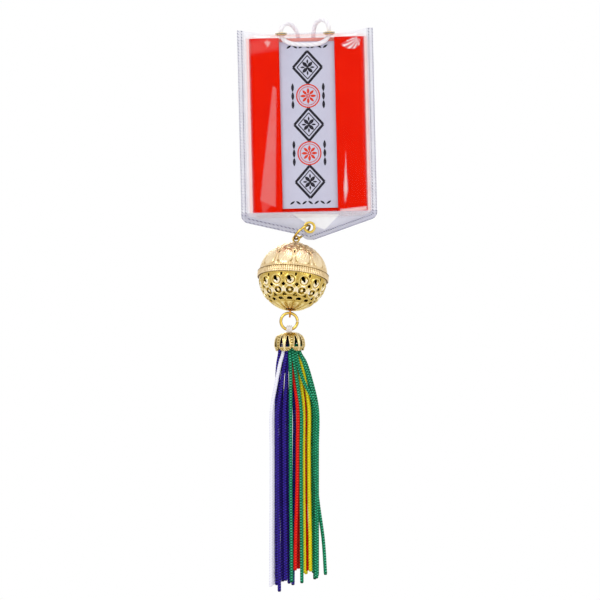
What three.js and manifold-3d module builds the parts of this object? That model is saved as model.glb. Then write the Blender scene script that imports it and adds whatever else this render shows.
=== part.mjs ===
// Omamori charm: a clear sleeve with a folded packet, hung with an openwork bell ball and a tassel.
// Millimetres, +Z up, the front faces -Y. The origin is midway between the two top eyelets.
import * as THREE from 'three';
import { mergeVertices } from 'three/addons/utils/BufferGeometryUtils.js';
import Module from 'manifold-3d';

const wasm = await Module();
wasm.setup();

const degree = Math.PI / 180;

// Clearances
const gap = 0.3;
const closeGap = 0.12;
const overrun = 1;
const mergeTolerance = 1e-5;

// Packet: a stiff card, a front strip and a wrapper whose two flaps fold over the front
const packetWidth = 49.7;
const packetShift = 0.55;
const packetTop = -1.7;
const packetHeight = 74.9;
const wrapperThickness = 0.4;
const wrapperBackY = 1.25;
const flapFrontY = -2.55;
const flapUnderY = -1.65;
const flapWidth = 13;
const flapTuck = 5;
const noseSteps = 4;
const bendSteps = 6;
const cardThickness = 1.6;
const cardInset = 2.1;
const cardShort = 0.2;
const stripThickness = 0.3;
const stripTopInset = 1.7;
const stripBottomInset = 1.6;
const stripSideInset = 3.8;
const packetLeft = packetShift - packetWidth / 2;
const packetRight = packetShift + packetWidth / 2;
const packetBottom = packetTop - packetHeight;

// Eyelets: a rolled tube with a flange, and a washer behind the sheet
const eyeletOuter = 2.6;
const eyeletTubeWall = 0.3;
const eyeletFlange = 0.3;
const eyeletLip = 0.15;
const eyeletSegments = 14;
const topEyeletSpan = 20.6;
const topEyeletY = -1.6;
const topEyeletBore = 1.4;
const tipEyeletBore = 1.55;
const tipEyeletDrop = 6.6;
const tipEyeletZ = packetBottom - tipEyeletDrop;

// Clear sleeve: two sheets welded along their sides and bottom. Each slant of the lower edge is set by
// how far its two ends lie below the packet.
const sheetThickness = 0.4;
const sleeveMargin = 4.4;
const sleeveHalf = packetWidth / 2 + sleeveMargin;
const sleeveEarTop = 2.1;
const sleeveTipDrop = 12;
const sleeveTipZ = packetBottom - sleeveTipDrop;
const sleeveCornerRadius = 3.5;
const weldWidth = 2.95;
const weldRise = 3.8;
const slantRise = 1.2;
const frontDepth = 3.3;
const backDepth = 2.1;
const mouthFrontDepth = 4.9;
const mouthBackDepth = 2.7;
const mouthSpare = 0.1;
const mouthBlend = 6;
const mouthHalfWidth = topEyeletSpan / 2 + eyeletOuter + mouthSpare;
const mouthEnd = mouthHalfWidth + mouthBlend;
const mouthFlare = 8;
const earStart = 15;
const leftCornerDrop = 3.6;
const leftApexDrop = 10.85;
const rightCornerDrop = 2.94;
const rightApexDrop = 12.68;
const leftSlant = slantBetween(leftCornerDrop, leftApexDrop);
const rightSlant = slantBetween(rightCornerDrop, rightApexDrop);
const tipRadius = 4.1;
const floorRise = 2;
const riseShares = [0.82, 0.5];
const middleRowShares = [0.33, 0.67];
const cornerRowShares = [0.4];
const tipRowShares = [-0.5, 0.45, 0.85, 0.98];

// Hanging cord and its knot
const cordDiameter = 1.9;
const cordSides = 8;
const cordSteps = { front: 16, left: 20, right: 22, tail: 4 };
const knotRadius = 2.3;
const knotHeight = 2.7;
const knotSegments = 12;
const knotCentre = [0.8, 5.0, -46];
const tailLength = 9;
const tailSpread = 2.2;
const tailMiddleShare = 0.7;
const tailRootShare = 0.33;

// Rings
const upperRingRadius = 4.2;
const upperRingWire = 1.0;
const upperRingTilt = 17 * degree;
const lowerRingRadius = 3.55;
const lowerRingWire = 1.24;
const lowerRingSlipAngle = 8 * degree;
const ringSegments = 20;
const ringSides = 6;
const ringSlit = 0.2;

// Openwork ball: two shells, a crimped band and an eye at each pole
const ballRadius = 14.7;
const ballWall = 0.7;
const ballRollAngle = 6 * degree;
const ballPitchAngle = 14 * degree;
const ballSegments = 28;
const ballRingCount = 6;
const bandThickness = 0.53;
const bandHeight = 2.8;
const bandLip = 0.3;
const columnCount = 14;
const columnStartAngle = -4.5 * degree;
const roundHoleRadius = 1.7;
const diamondHoleRadius = 0.6;
const ringHoleRadius = 1.1;
const dropHoleRadius = 0.8;
const petalHoleRadius = 0.55;
const roundHole = { latitude: -17.3 * degree, radius: roundHoleRadius, shiftShare: 0, sides: 6 };
const diamondHole = { latitude: -27 * degree, radius: diamondHoleRadius, shiftShare: 0.5, sides: 4 };
const ringHole = { latitude: -37 * degree, radius: ringHoleRadius, shiftShare: 0, sides: 6 };
const dropHole = { latitude: -54 * degree, radius: dropHoleRadius, shiftShare: 0, sides: 4 };
const petalHole = { latitude: 38 * degree, radius: petalHoleRadius, shiftShare: 0.5, sides: 4 };
const eyeSegments = 13;
const topEyeLeft = 5.9;
const topEyeDrop = 4.9;
const topEyeHole = 0.95;
const topEyeWire = 0.75;
const bottomEyeStand = 1.5;
const bottomEyeHole = 1.2;
const bottomEyeWire = 0.8;
const topPoleHole = 1.2;
const bottomPoleHole = 2.1;
const shankRadius = 0.75;
const headOverlap = 0.5;
const headThickness = 0.5;
const headGap = 0.55;

// Small jingle bell trapped in the ball, and its pellet
const bellRadius = 6;
const bellWall = 0.6;
const bellPlay = 1.2;
const bellSlotWidth = 1.4;
const bellSlotEnd = 1.3;
const bellSegments = 14;
const pelletRadius = 1.6;
const pelletSegments = 8;

// Tassel
const capPlay = 0.37;
const capHeight = 8.3;
const capRadius = 6.55;
const capWall = 0.5;
const capHole = 1.6;
const capRadiusShares = [0.64, 0.88, 0.985, 1, 0.985];
const capDropShares = [0.06, 0.22, 0.5, 0.8, 1];
const capPetalCount = 6;
const capNotchAngle = 9 * degree;
const capSlotAngle = 12 * degree;
const capSlotWidth = 1.3;
const capSlotHeight = 4.2;
const capSegments = 24;
const threadDiameter = 0.9;
const threadPlay = 0.35;
const threadSteps = 18;
const threadSides = 6;
const threadSideShare = 0.85;
const threadWrapShare = 0.45;
const bindingHeight = 2.3;
const bindingDrop = 2.5;
const bindingTopShare = 0.6;
const bindingLowShare = 0.8;
const strandDiameter = 1.36;
const strandSides = 8;
const strandSteps = 14;
const layerCount = 4;
const columnPitchTop = 0.71;
const columnPitchLow = 1.63;
const layerPitchTop = 1.46;
const layerPitchLow = 2.2;
const strandLength = 100;
const strandSway = 1.65;
const strandLeanShare = 0.0237;
const openShares = { from: 0.035, to: 0.26 };
const driftShares = { from: 0.5, to: 1 };

// The lower edge's line on one side: it runs from the side of the sleeve down to the middle.
function slantBetween(cornerDrop, apexDrop) {
  return { slope: (apexDrop - cornerDrop) / sleeveHalf, apexZ: packetBottom - apexDrop };
}

// Finishes
const finishes = {
  vinyl: { color: 0xe6e6ee, roughness: 0.15, metalness: 0, transparent: true, opacity: 0.35 },
  red: { color: 0xe62a08, roughness: 0.7, metalness: 0 },
  satin: { color: 0xd4d2e2, roughness: 0.5, metalness: 0 },
  gold: { color: 0xe0b850, roughness: 0.25, metalness: 1 },
  whiteCord: { color: 0xe9e7ec, roughness: 0.6, metalness: 0 },
  white: { color: 0xd8d4e8, roughness: 0.7, metalness: 0 },
  purple: { color: 0x2a1878, roughness: 0.7, metalness: 0 },
  scarlet: { color: 0xd8140e, roughness: 0.7, metalness: 0 },
  yellow: { color: 0xe2d418, roughness: 0.7, metalness: 0 },
  green: { color: 0x0e7a52, roughness: 0.7, metalness: 0 },
};

function mesh(name, geometry, finish) {
  const made = new THREE.Mesh(geometry, new THREE.MeshStandardMaterial(finishes[finish]));
  made.name = name;
  return made;
}

function solid(geometry) {
  const bare = geometry.clone();
  bare.deleteAttribute('normal');
  bare.deleteAttribute('uv');
  const merged = mergeVertices(bare, mergeTolerance);
  const vertProperties = new Float32Array(merged.attributes.position.array);
  const triVerts = new Uint32Array(merged.index.array);
  return new wasm.Manifold(new wasm.Mesh({ numProp: 3, vertProperties, triVerts }));
}

function geometryOf(body) {
  const { numProp, vertProperties, triVerts } = body.getMesh();
  const positions = new Float32Array((vertProperties.length / numProp) * 3);
  for (let i = 0; i < positions.length / 3; i += 1) {
    for (let k = 0; k < 3; k += 1) positions[i * 3 + k] = vertProperties[i * numProp + k];
  }
  const geometry = new THREE.BufferGeometry();
  geometry.setAttribute('position', new THREE.BufferAttribute(positions, 3));
  geometry.setIndex(new THREE.BufferAttribute(new Uint32Array(triVerts), 1));
  return geometry;
}

function cut(geometry, cutters) {
  let body = solid(geometry);
  for (const cutter of cutters) body = body.subtract(solid(cutter));
  return geometryOf(body);
}

function join(geometries) {
  let body = solid(geometries[0]);
  for (const other of geometries.slice(1)) body = body.add(solid(other));
  return geometryOf(body);
}

function smooth(share) {
  const s = THREE.MathUtils.clamp(share, 0, 1);
  return s * s * (3 - 2 * s);
}

function circle(radius, sides) {
  const shape = new THREE.Shape();
  for (let i = 0; i < sides; i += 1) {
    const turn = ((i + 0.5) / sides) * 2 * Math.PI;
    const at = [radius * Math.cos(turn), radius * Math.sin(turn)];
    if (i === 0) shape.moveTo(...at);
    else shape.lineTo(...at);
  }
  shape.closePath();
  return shape;
}

function tube(points, diameter, sides, steps) {
  const path = new THREE.CatmullRomCurve3(points.map((p) => new THREE.Vector3(...p)));
  return new THREE.ExtrudeGeometry(circle(diameter / 2, sides), {
    extrudePath: path,
    steps,
    bevelEnabled: false,
  });
}

// A profile of [radius, height] points, turned about Z and closed on itself.
function turned(profile, segments) {
  const closed = [...profile, profile[0]].map(([r, z]) => new THREE.Vector2(r, z));
  return new THREE.LatheGeometry(closed, segments).rotateX(Math.PI / 2);
}

function rod(radius, length, sides) {
  return new THREE.CylinderGeometry(radius, radius, length, sides).rotateX(Math.PI / 2);
}

// Sleeve outline

const tipCentreZ = sleeveTipZ + tipRadius;

// How far the outline reaches from the middle at height z, on the side with this slant.
function reachAt(z, slant) {
  const lean = Math.atan(slant.slope);
  const cornerZ = slant.apexZ + slant.slope * sleeveHalf;
  const arcZ = cornerZ + sleeveCornerRadius * Math.tan((Math.PI / 2 - lean) / 2);
  const arcEndZ = arcZ - sleeveCornerRadius * Math.cos(lean);
  const tipDrop = tipCentreZ - z;
  const tip = Math.sqrt(Math.max(tipRadius ** 2 - tipDrop ** 2, 0));
  if (z >= arcZ) return sleeveHalf;
  if (z >= arcEndZ) {
    return sleeveHalf - sleeveCornerRadius + Math.sqrt(sleeveCornerRadius ** 2 - (z - arcZ) ** 2);
  }
  return Math.max((z - slant.apexZ) / slant.slope, tip);
}

function slantDistance(x, z) {
  const slant = x < 0 ? leftSlant : rightSlant;
  return (z - slant.apexZ - slant.slope * Math.abs(x)) * Math.cos(Math.atan(slant.slope));
}

// A quarter ellipse's rise from 0 to 1.
function rounding(share) {
  return Math.sqrt(1 - (1 - THREE.MathUtils.clamp(share, 0, 1)) ** 2);
}

// How far a sheet stands off the weld plane.
function standOff(x, z, depth, mouthDepth) {
  const side = rounding((sleeveHalf - Math.abs(x) - weldWidth) / weldRise);
  const below = rounding((slantDistance(x, z) - weldWidth) / slantRise);
  const floor = THREE.MathUtils.clamp((z - packetBottom + gap + floorRise) / floorRise, 0, 1);
  const middle = 1 - smooth((Math.abs(x) - mouthHalfWidth) / (mouthEnd - mouthHalfWidth));
  const flare = smooth((z - packetTop + mouthFlare) / mouthFlare) * middle;
  const closing = z > packetTop + gap + closeGap ? middle : 1;
  return (depth + (mouthDepth - depth) * flare) * side * below * floor * closing;
}

function sheetGeometry(side, depth, mouthDepth, middleTop) {
  const weldShare = 1 - weldWidth / sleeveHalf;
  const fullShare = 1 - (weldWidth + weldRise) / sleeveHalf;
  const rising = riseShares.map((share) => fullShare + (weldShare - fullShare) * share);
  const mouthShares = [mouthEnd / sleeveHalf, mouthHalfWidth / sleeveHalf];
  const innerShare = mouthHalfWidth / sleeveHalf / 2;
  const halfShares = [1, weldShare, ...rising, fullShare, ...mouthShares, innerShare];
  const shares = [...halfShares.map((s) => -s), 0, ...halfShares.reverse()];
  const floorTop = packetBottom - gap;
  const floorEnd = floorTop - floorRise;
  const mouthFoot = packetTop - mouthFlare;
  const middleRows = middleRowShares.map((s) => mouthFoot + (floorTop - mouthFoot) * s);
  const cornerRows = cornerRowShares.map((s) => floorEnd + (tipCentreZ + tipRadius / 2 - floorEnd) * s);
  const tipRows = tipRowShares.map((s) => tipCentreZ - tipRadius * s);
  const rows = [
    null,
    packetTop + gap,
    packetTop - mouthFlare / 2,
    mouthFoot,
    ...middleRows,
    floorTop,
    floorTop - floorRise / 2,
    floorEnd,
    ...cornerRows,
    ...tipRows,
  ];
  const inner = [];
  const outer = [];
  for (const row of rows) {
    for (const share of shares) {
      const reach = reachAt(row ?? 0, share < 0 ? leftSlant : rightSlant);
      const x = share * reach;
      const rise = smooth((Math.abs(x) - earStart) / (sleeveHalf - earStart));
      const z = row ?? middleTop + (sleeveEarTop - middleTop) * rise;
      const off = standOff(x, z, depth, mouthDepth);
      inner.push([x, side * off, z]);
      outer.push([x, side * (off + sheetThickness), z]);
    }
  }
  const width = shares.length;
  const count = inner.length;
  const faces = [];
  const quad = (a, b, c, d) => faces.push([a, b, c], [a, c, d]);
  for (let i = 0; i + 1 < rows.length; i += 1) {
    for (let j = 0; j + 1 < width; j += 1) {
      const a = i * width + j;
      quad(a, a + 1, a + width + 1, a + width);
      quad(count + a, count + a + width, count + a + width + 1, count + a + 1);
    }
  }
  const last = (rows.length - 1) * width;
  for (let j = 0; j + 1 < width; j += 1) {
    quad(j, count + j, count + j + 1, j + 1);
    quad(last + j, last + j + 1, count + last + j + 1, count + last + j);
  }
  for (let i = 0; i + 1 < rows.length; i += 1) {
    const left = i * width;
    const right = left + width - 1;
    quad(left, left + width, count + left + width, count + left);
    quad(right, count + right, count + right + width, right + width);
  }
  const geometry = new THREE.BufferGeometry();
  geometry.setAttribute('position', new THREE.Float32BufferAttribute([...inner, ...outer].flat(), 3));
  const turnedFaces = faces.map(([a, b, c]) => [a, c, b]);
  geometry.setIndex((side < 0 ? faces : turnedFaces).flat());
  return geometry;
}

const halfSheet = sheetThickness / 2;
const eyeletTubeOuter = (bore) => bore + eyeletTubeWall;
const sheetBore = (bore) => eyeletTubeOuter(bore) + gap;

function makeSleeve() {
  const tipHole = rod(sheetBore(tipEyeletBore), sheetThickness * 2 + overrun * 2, eyeletSegments);
  tipHole.rotateX(Math.PI / 2).translate(0, 0, tipEyeletZ);
  const front = cut(sheetGeometry(-1, frontDepth, mouthFrontDepth, -halfSheet - gap), [tipHole]);
  const roofDepth = mouthBackDepth + halfSheet + mouthFrontDepth + sheetThickness + gap;
  const roof = new THREE.BoxGeometry((mouthHalfWidth - gap) * 2, roofDepth, sheetThickness);
  roof.translate(0, mouthBackDepth + halfSheet - roofDepth / 2, 0);
  const backSheet = sheetGeometry(1, backDepth, mouthBackDepth, halfSheet + closeGap);
  const topHoles = [-1, 1].map((side) =>
    rod(sheetBore(topEyeletBore), sheetThickness + overrun * 2, eyeletSegments)
      .translate((side * topEyeletSpan) / 2, topEyeletY, 0));
  const back = cut(join([backSheet, roof]), [tipHole, ...topHoles]);
  return [mesh('sleeve_front_sheet', front, 'vinyl'), mesh('sleeve_back_sheet', back, 'vinyl')];
}

// An eyelet about Z: the flange is above the sheets, and the tube ends in a rolled lip below the washer.
function eyeletGeometry(bore, half) {
  const tubeOuter = eyeletTubeOuter(bore);
  const lipZ = -half - eyeletFlange - closeGap;
  return turned([
    [bore, lipZ - eyeletLip],
    [tubeOuter + eyeletLip, lipZ - eyeletLip],
    [tubeOuter + eyeletLip, lipZ],
    [tubeOuter, lipZ],
    [tubeOuter, half],
    [eyeletOuter, half],
    [eyeletOuter - eyeletFlange / 2, half + eyeletFlange],
    [bore, half + eyeletFlange],
  ], eyeletSegments);
}

function washerGeometry(bore, half) {
  const inside = eyeletTubeOuter(bore) + closeGap;
  return turned([
    [inside, -half - eyeletFlange],
    [eyeletOuter, -half - eyeletFlange],
    [eyeletOuter, -half],
    [inside, -half],
  ], eyeletSegments);
}

function makeEyelets() {
  const made = [];
  for (const [side, word] of [[-1, 'left'], [1, 'right']]) {
    const eyelet = mesh(`top_eyelet_${word}`, eyeletGeometry(topEyeletBore, halfSheet), 'gold');
    const washer = mesh(`top_washer_${word}`, washerGeometry(topEyeletBore, halfSheet), 'gold');
    for (const piece of [eyelet, washer]) piece.position.set((side * topEyeletSpan) / 2, topEyeletY, 0);
    made.push(eyelet, washer);
  }
  const tipEyelet = mesh('tip_eyelet', eyeletGeometry(tipEyeletBore, sheetThickness), 'gold');
  const tipWasher = mesh('tip_washer', washerGeometry(tipEyeletBore, sheetThickness), 'gold');
  for (const piece of [tipEyelet, tipWasher]) {
    piece.position.set(0, 0, tipEyeletZ);
    piece.rotation.x = Math.PI / 2;
  }
  return [...made, tipEyelet, tipWasher];
}

// Packet

const wrapperSideRadius = (wrapperBackY - flapFrontY) / 2;
const wrapperMidY = (wrapperBackY + flapFrontY) / 2;
const bendOuter = wrapperSideRadius + wrapperThickness / 2;
const noseRadius = (flapUnderY - flapFrontY) / 2;
const noseReach = noseRadius + wrapperThickness / 2;

function arc(cx, cy, radius, from, to, steps) {
  const points = [];
  for (let i = 0; i <= steps; i += 1) {
    const turn = from + ((to - from) * i) / steps;
    points.push([cx + radius * Math.cos(turn), cy + radius * Math.sin(turn)]);
  }
  return points;
}

// The wrapper's middle line in plan, from one tucked edge round the back to the other.
function wrapperLine() {
  const bendLeft = packetLeft + bendOuter;
  const bendRight = packetRight - bendOuter;
  const noseLeft = packetLeft + flapWidth - noseReach;
  const noseRight = packetRight - flapWidth + noseReach;
  const noseY = (flapUnderY + flapFrontY) / 2;
  const quarter = Math.PI / 2;
  return [
    [noseLeft - flapTuck, flapUnderY],
    ...arc(noseLeft, noseY, noseRadius, quarter, -quarter, noseSteps),
    ...arc(bendLeft, wrapperMidY, wrapperSideRadius, -quarter, -3 * quarter, bendSteps),
    ...arc(bendRight, wrapperMidY, wrapperSideRadius, quarter, -quarter, bendSteps),
    ...arc(noseRight, noseY, noseRadius, -quarter, -3 * quarter, noseSteps),
    [noseRight + flapTuck, flapUnderY],
  ];
}

function ribbon(line, thickness) {
  const sides = [[], []];
  line.forEach((point, i) => {
    const before = line[Math.max(i - 1, 0)];
    const after = line[Math.min(i + 1, line.length - 1)];
    const along = new THREE.Vector2(after[0] - before[0], after[1] - before[1]).normalize();
    for (const [k, sign] of [[0, 1], [1, -1]]) {
      const step = (sign * thickness) / 2;
      sides[k].push(new THREE.Vector2(point[0] - along.y * step, point[1] + along.x * step));
    }
  });
  return new THREE.Shape([...sides[0], ...sides[1].reverse()]);
}

function makePacket() {
  const wrapper = new THREE.ExtrudeGeometry(ribbon(wrapperLine(), wrapperThickness), {
    depth: packetHeight,
    bevelEnabled: false,
  }).translate(0, 0, packetBottom);
  const cardWidth = packetRight - packetLeft - cardInset * 2;
  const middleX = (packetLeft + packetRight) / 2;
  const middleZ = (packetTop + packetBottom) / 2;
  const card = new THREE.BoxGeometry(cardWidth, cardThickness, packetHeight - cardShort * 2);
  card.translate(middleX, 0, middleZ);
  const stripY = flapUnderY + wrapperThickness / 2 + closeGap + stripThickness / 2;
  const stripHeight = packetHeight - stripTopInset - stripBottomInset;
  const stripWidth = packetRight - packetLeft - stripSideInset * 2;
  const strip = new THREE.BoxGeometry(stripWidth, stripThickness, stripHeight);
  strip.translate(middleX, stripY, packetBottom + stripBottomInset + stripHeight / 2);
  return [
    mesh('card_core', card, 'red'),
    mesh('packet_wrapper', wrapper, 'red'),
    mesh('front_strip', strip, 'satin'),
  ];
}

// Hanging cord: a held stretch under the roof and two free stretches that fall behind the sleeve.
const cordFrontRoute = [
  [-10.3, -1.6, 0], [-10.2, -1.7, -0.9], [-9.6, -2.1, -2.0], [-8.3, -2.55, -3.2], [-6.2, -2.7, -4.1],
  [-3.4, -2.7, -4.6], [0, -2.7, -4.8], [3.4, -2.7, -4.8], [6.4, -2.7, -4.3], [8.4, -2.55, -3.3],
  [9.6, -2.1, -2.0], [10.2, -1.7, -0.9], [10.3, -1.6, 0],
];
const cordLeftRoute = [
  [-10.3, -1.6, 0.3], [-10.25, -1.5, 1.6], [-9.6, -0.8, 3.4], [-8.0, 0.7, 4.6], [-5.9, 2.6, 4.3],
  [-4.1, 4.0, 2.4], [-3.1, 4.5, -0.4], [-2.5, 4.5, -5], [-2.2, 4.1, -14], [-2.3, 3.8, -24],
  [-1.9, 4.0, -34], [-0.8, 4.8, -40.5], [-0.3, 5.0, -43.1],
];
const cordRightRoute = [
  [10.3, -1.6, 0.3], [10.3, -1.55, 1.9], [9.9, -1.2, 3.7], [8.8, -0.2, 5.4], [7.1, 1.4, 6.0],
  [5.4, 3.0, 5.3], [4.2, 4.1, 3.3], [3.7, 4.55, 0.6], [3.5, 4.5, -4], [3.6, 4.1, -13],
  [3.7, 3.8, -24], [3.3, 4.0, -34], [2.3, 4.8, -40.5], [1.9, 5.0, -43.1],
];

function makeCord() {
  const [kx, ky, kz] = knotCentre;
  const knot = new THREE.SphereGeometry(knotRadius, knotSegments, knotSegments / 2);
  knot.scale(1, 1, knotHeight / knotRadius);
  knot.translate(kx, ky, kz);
  const tails = [-1, 1].map((side) => {
    const end = kz - knotHeight - tailLength;
    const start = kz - knotHeight / 2;
    const root = side * knotRadius * tailRootShare;
    return tube([
      [kx + root, ky, start],
      [kx + side * tailSpread * tailMiddleShare, ky, (start + end) / 2],
      [kx + side * tailSpread, ky - knotRadius * tailRootShare, end],
    ], cordDiameter, cordSides, cordSteps.tail);
  });
  return [
    mesh('cord_front', tube(cordFrontRoute, cordDiameter, cordSides, cordSteps.front), 'whiteCord'),
    mesh('cord_left', tube(cordLeftRoute, cordDiameter, cordSides, cordSteps.left), 'whiteCord'),
    mesh('cord_right', tube(cordRightRoute, cordDiameter, cordSides, cordSteps.right), 'whiteCord'),
    mesh('cord_knot', join([knot, ...tails]), 'whiteCord'),
  ];
}

// Rings and the ball's place

const tipHole = new THREE.Vector3(0, 0, tipEyeletZ);
const topEye = new THREE.Vector3(-topEyeLeft, 0, tipEyeletZ - topEyeDrop);
const topEyeOuter = topEyeHole + topEyeWire;
const ballReach = ballRadius + gap + topEyeOuter;
const ballTurn = new THREE.Euler(-ballPitchAngle, ballRollAngle, 0, 'YXZ');
const ballUp = new THREE.Vector3(0, 0, 1).applyEuler(ballTurn);
const ballCentre = topEye.clone().addScaledVector(ballUp, -ballReach);
const bottomEyeReach = ballRadius + bottomEyeStand;
const bottomEye = ballCentre.clone().addScaledVector(ballUp, -bottomEyeReach);
const ringSlip = new THREE.Vector3(-Math.sin(lowerRingSlipAngle), 0, -Math.cos(lowerRingSlipAngle));
const lowerRingCentre = bottomEye.clone().addScaledVector(ringSlip, lowerRingRadius);

// A wire ring in the XY plane with its slit on the +Y side.
function wireRing(radius, wire, segments) {
  const whole = new THREE.TorusGeometry(radius, wire / 2, ringSides, segments);
  const slit = new THREE.BoxGeometry(ringSlit, wire + overrun, wire + overrun).translate(0, radius, 0);
  return cut(whole, [slit]);
}

function makeUpperRing() {
  const span = topEye.clone().sub(tipHole);
  const lift = Math.sqrt(upperRingRadius ** 2 - (span.length() / 2) ** 2);
  const ring = mesh('upper_ring', wireRing(upperRingRadius, upperRingWire, ringSegments), 'gold');
  ring.rotation.order = 'YXZ';
  ring.rotation.set(upperRingTilt, Math.atan2(-span.z, span.x), 0);
  ring.position.set(0, -lift, 0).applyEuler(ring.rotation);
  ring.position.add(tipHole.clone().add(topEye).multiplyScalar(1 / 2));
  return ring;
}

function makeLowerRing() {
  const ring = mesh('lower_ring', wireRing(lowerRingRadius, lowerRingWire, ringSegments), 'gold');
  ring.position.copy(lowerRingCentre);
  ring.rotation.order = 'YXZ';
  ring.rotation.set(Math.PI / 2, Math.PI / 2, 0);
  return ring;
}

// Ball

function shellGeometry(side, poleHole) {
  const rim = ringSlit / 2;
  const inside = ballRadius - ballWall;
  const from = Math.asin(rim / ballRadius);
  const outerEnd = Math.acos(poleHole / ballRadius);
  const innerEnd = Math.acos(poleHole / inside);
  const innerStart = Math.asin(rim / inside);
  const outer = arc(0, 0, ballRadius, from, outerEnd, ballRingCount);
  const inner = arc(0, 0, inside, innerEnd, innerStart, ballRingCount);
  const profile = [...outer, ...inner].map(([r, z]) => [r, side * z]);
  return turned(side > 0 ? profile : profile.reverse(), ballSegments);
}

function holeCutters(row) {
  const made = [];
  for (let i = 0; i < columnCount; i += 1) {
    const turn = columnStartAngle + ((i + row.shiftShare) * 2 * Math.PI) / columnCount;
    const cutter = new THREE.CylinderGeometry(row.radius, row.radius, ballWall + overrun * 2, row.sides);
    cutter.rotateZ(-Math.PI / 2).translate(ballRadius - ballWall / 2, 0, 0);
    cutter.rotateY(-row.latitude).rotateZ(turn - Math.PI / 2);
    made.push(cutter);
  }
  return made;
}

function eyeGeometry(side, reach, hole, wire, poleHole, turn) {
  const eye = new THREE.TorusGeometry(hole + wire / 2, wire / 2, ringSides, eyeSegments);
  eye.applyMatrix4(turn).translate(0, 0, side * reach);
  const headTop = ballRadius - ballWall - headGap;
  const shankTop = reach - hole - wire / 2;
  const shankLength = shankTop - headTop + headThickness / 2;
  const shank = rod(shankRadius, shankLength, ringSides);
  shank.translate(0, 0, side * (shankTop - shankLength / 2));
  const head = rod(poleHole + headOverlap, headThickness, ringSides * 2);
  head.translate(0, 0, side * (headTop - headThickness / 2));
  return join([eye, shank, head]);
}

function makeBall() {
  const upperHoles = holeCutters(petalHole);
  const lowerHoles = [roundHole, diamondHole, ringHole, dropHole].flatMap(holeCutters);
  const half = bandHeight / 2;
  const inside = ballRadius + closeGap;
  const bandOuter = inside + bandThickness;
  const band = turned([
    [inside, -half],
    [bandOuter - bandLip, -half],
    [bandOuter, -half + bandLip],
    [bandOuter, half - bandLip],
    [bandOuter - bandLip, half],
    [inside, half],
  ], ballSegments);
  const uprightEye = new THREE.Matrix4().makeRotationX(Math.PI / 2 + ballPitchAngle);
  const crossEye = new THREE.Matrix4().makeRotationY(Math.PI / 2);
  const topEyeSizes = [ballReach, topEyeHole, topEyeWire, topPoleHole];
  const bottomEyeSizes = [bottomEyeReach, bottomEyeHole, bottomEyeWire, bottomPoleHole];
  return [
    mesh('ball_upper_shell', cut(shellGeometry(1, topPoleHole), upperHoles), 'gold'),
    mesh('ball_lower_shell', cut(shellGeometry(-1, bottomPoleHole), lowerHoles), 'gold'),
    mesh('ball_band', band, 'gold'),
    mesh('ball_top_eye', eyeGeometry(1, ...topEyeSizes, uprightEye), 'gold'),
    mesh('ball_bottom_eye', eyeGeometry(-1, ...bottomEyeSizes, crossEye), 'gold'),
  ];
}

function makeInnerBell() {
  const quarter = Math.PI / 2;
  const innerRadius = bellRadius - bellWall;
  const outside = arc(0, 0, bellRadius, -quarter, quarter, bellSegments / 2);
  const whole = turned([[0, -bellRadius], ...outside.slice(1, -1), [0, bellRadius]], bellSegments);
  const hollow = new THREE.SphereGeometry(innerRadius, bellSegments, bellSegments / 2).rotateX(quarter);
  const slot = new THREE.BoxGeometry(bellRadius * 2 + overrun, bellSlotWidth, bellRadius + overrun);
  slot.translate(0, 0, -(bellRadius + overrun) / 2 - bellSlotEnd);
  const body = mesh('bell_body', cut(whole, [hollow, slot]), 'gold');
  const pellet = new THREE.SphereGeometry(pelletRadius, pelletSegments, pelletSegments).rotateX(quarter);
  pellet.translate(0, 0, -innerRadius + pelletRadius + gap);
  const place = ballCentre.clone();
  place.z -= ballRadius - ballWall - bellPlay - bellRadius;
  const group = new THREE.Group();
  group.position.copy(place);
  group.add(body, mesh('bell_pellet', pellet, 'gold'));
  return group;
}

// Tassel

const tasselX = lowerRingCentre.x;
const tasselY = lowerRingCentre.y;
const ringFootZ = lowerRingCentre.z - lowerRingRadius;
const capTop = ringFootZ - lowerRingWire / 2 - capPlay;
const bindingTop = capTop - bindingDrop;
const strandTopZ = bindingTop - bindingHeight - gap;

function capProfile(inset) {
  const outline = capRadiusShares.map((share, i) => [
    capRadius * share - inset,
    capTop - capHeight * capDropShares[i],
  ]);
  return [[capHole, capTop - inset], ...outline];
}

function makeCap() {
  const outer = capProfile(0);
  const inner = capProfile(capWall).reverse();
  inner[0][1] = outer.at(-1)[1];
  const shell = turned([...outer.reverse(), ...inner.reverse()], capSegments);
  const cutters = [];
  for (let i = 0; i < capPetalCount; i += 1) {
    const petal = capNotchAngle + ((i + 1 / 2) * 2 * Math.PI) / capPetalCount;
    for (const side of [-1, 1]) {
      const slot = new THREE.BoxGeometry(capSlotWidth, capRadius * 2, capSlotHeight);
      slot.translate(0, -capRadius - capHole - capWall, capTop - capHeight / 2 - capWall);
      cutters.push(slot.rotateZ(petal + side * capSlotAngle));
    }
  }
  const cap = mesh('tassel_cap', cut(shell, cutters), 'gold');
  cap.position.set(tasselX, tasselY, 0);
  return cap;
}

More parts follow.
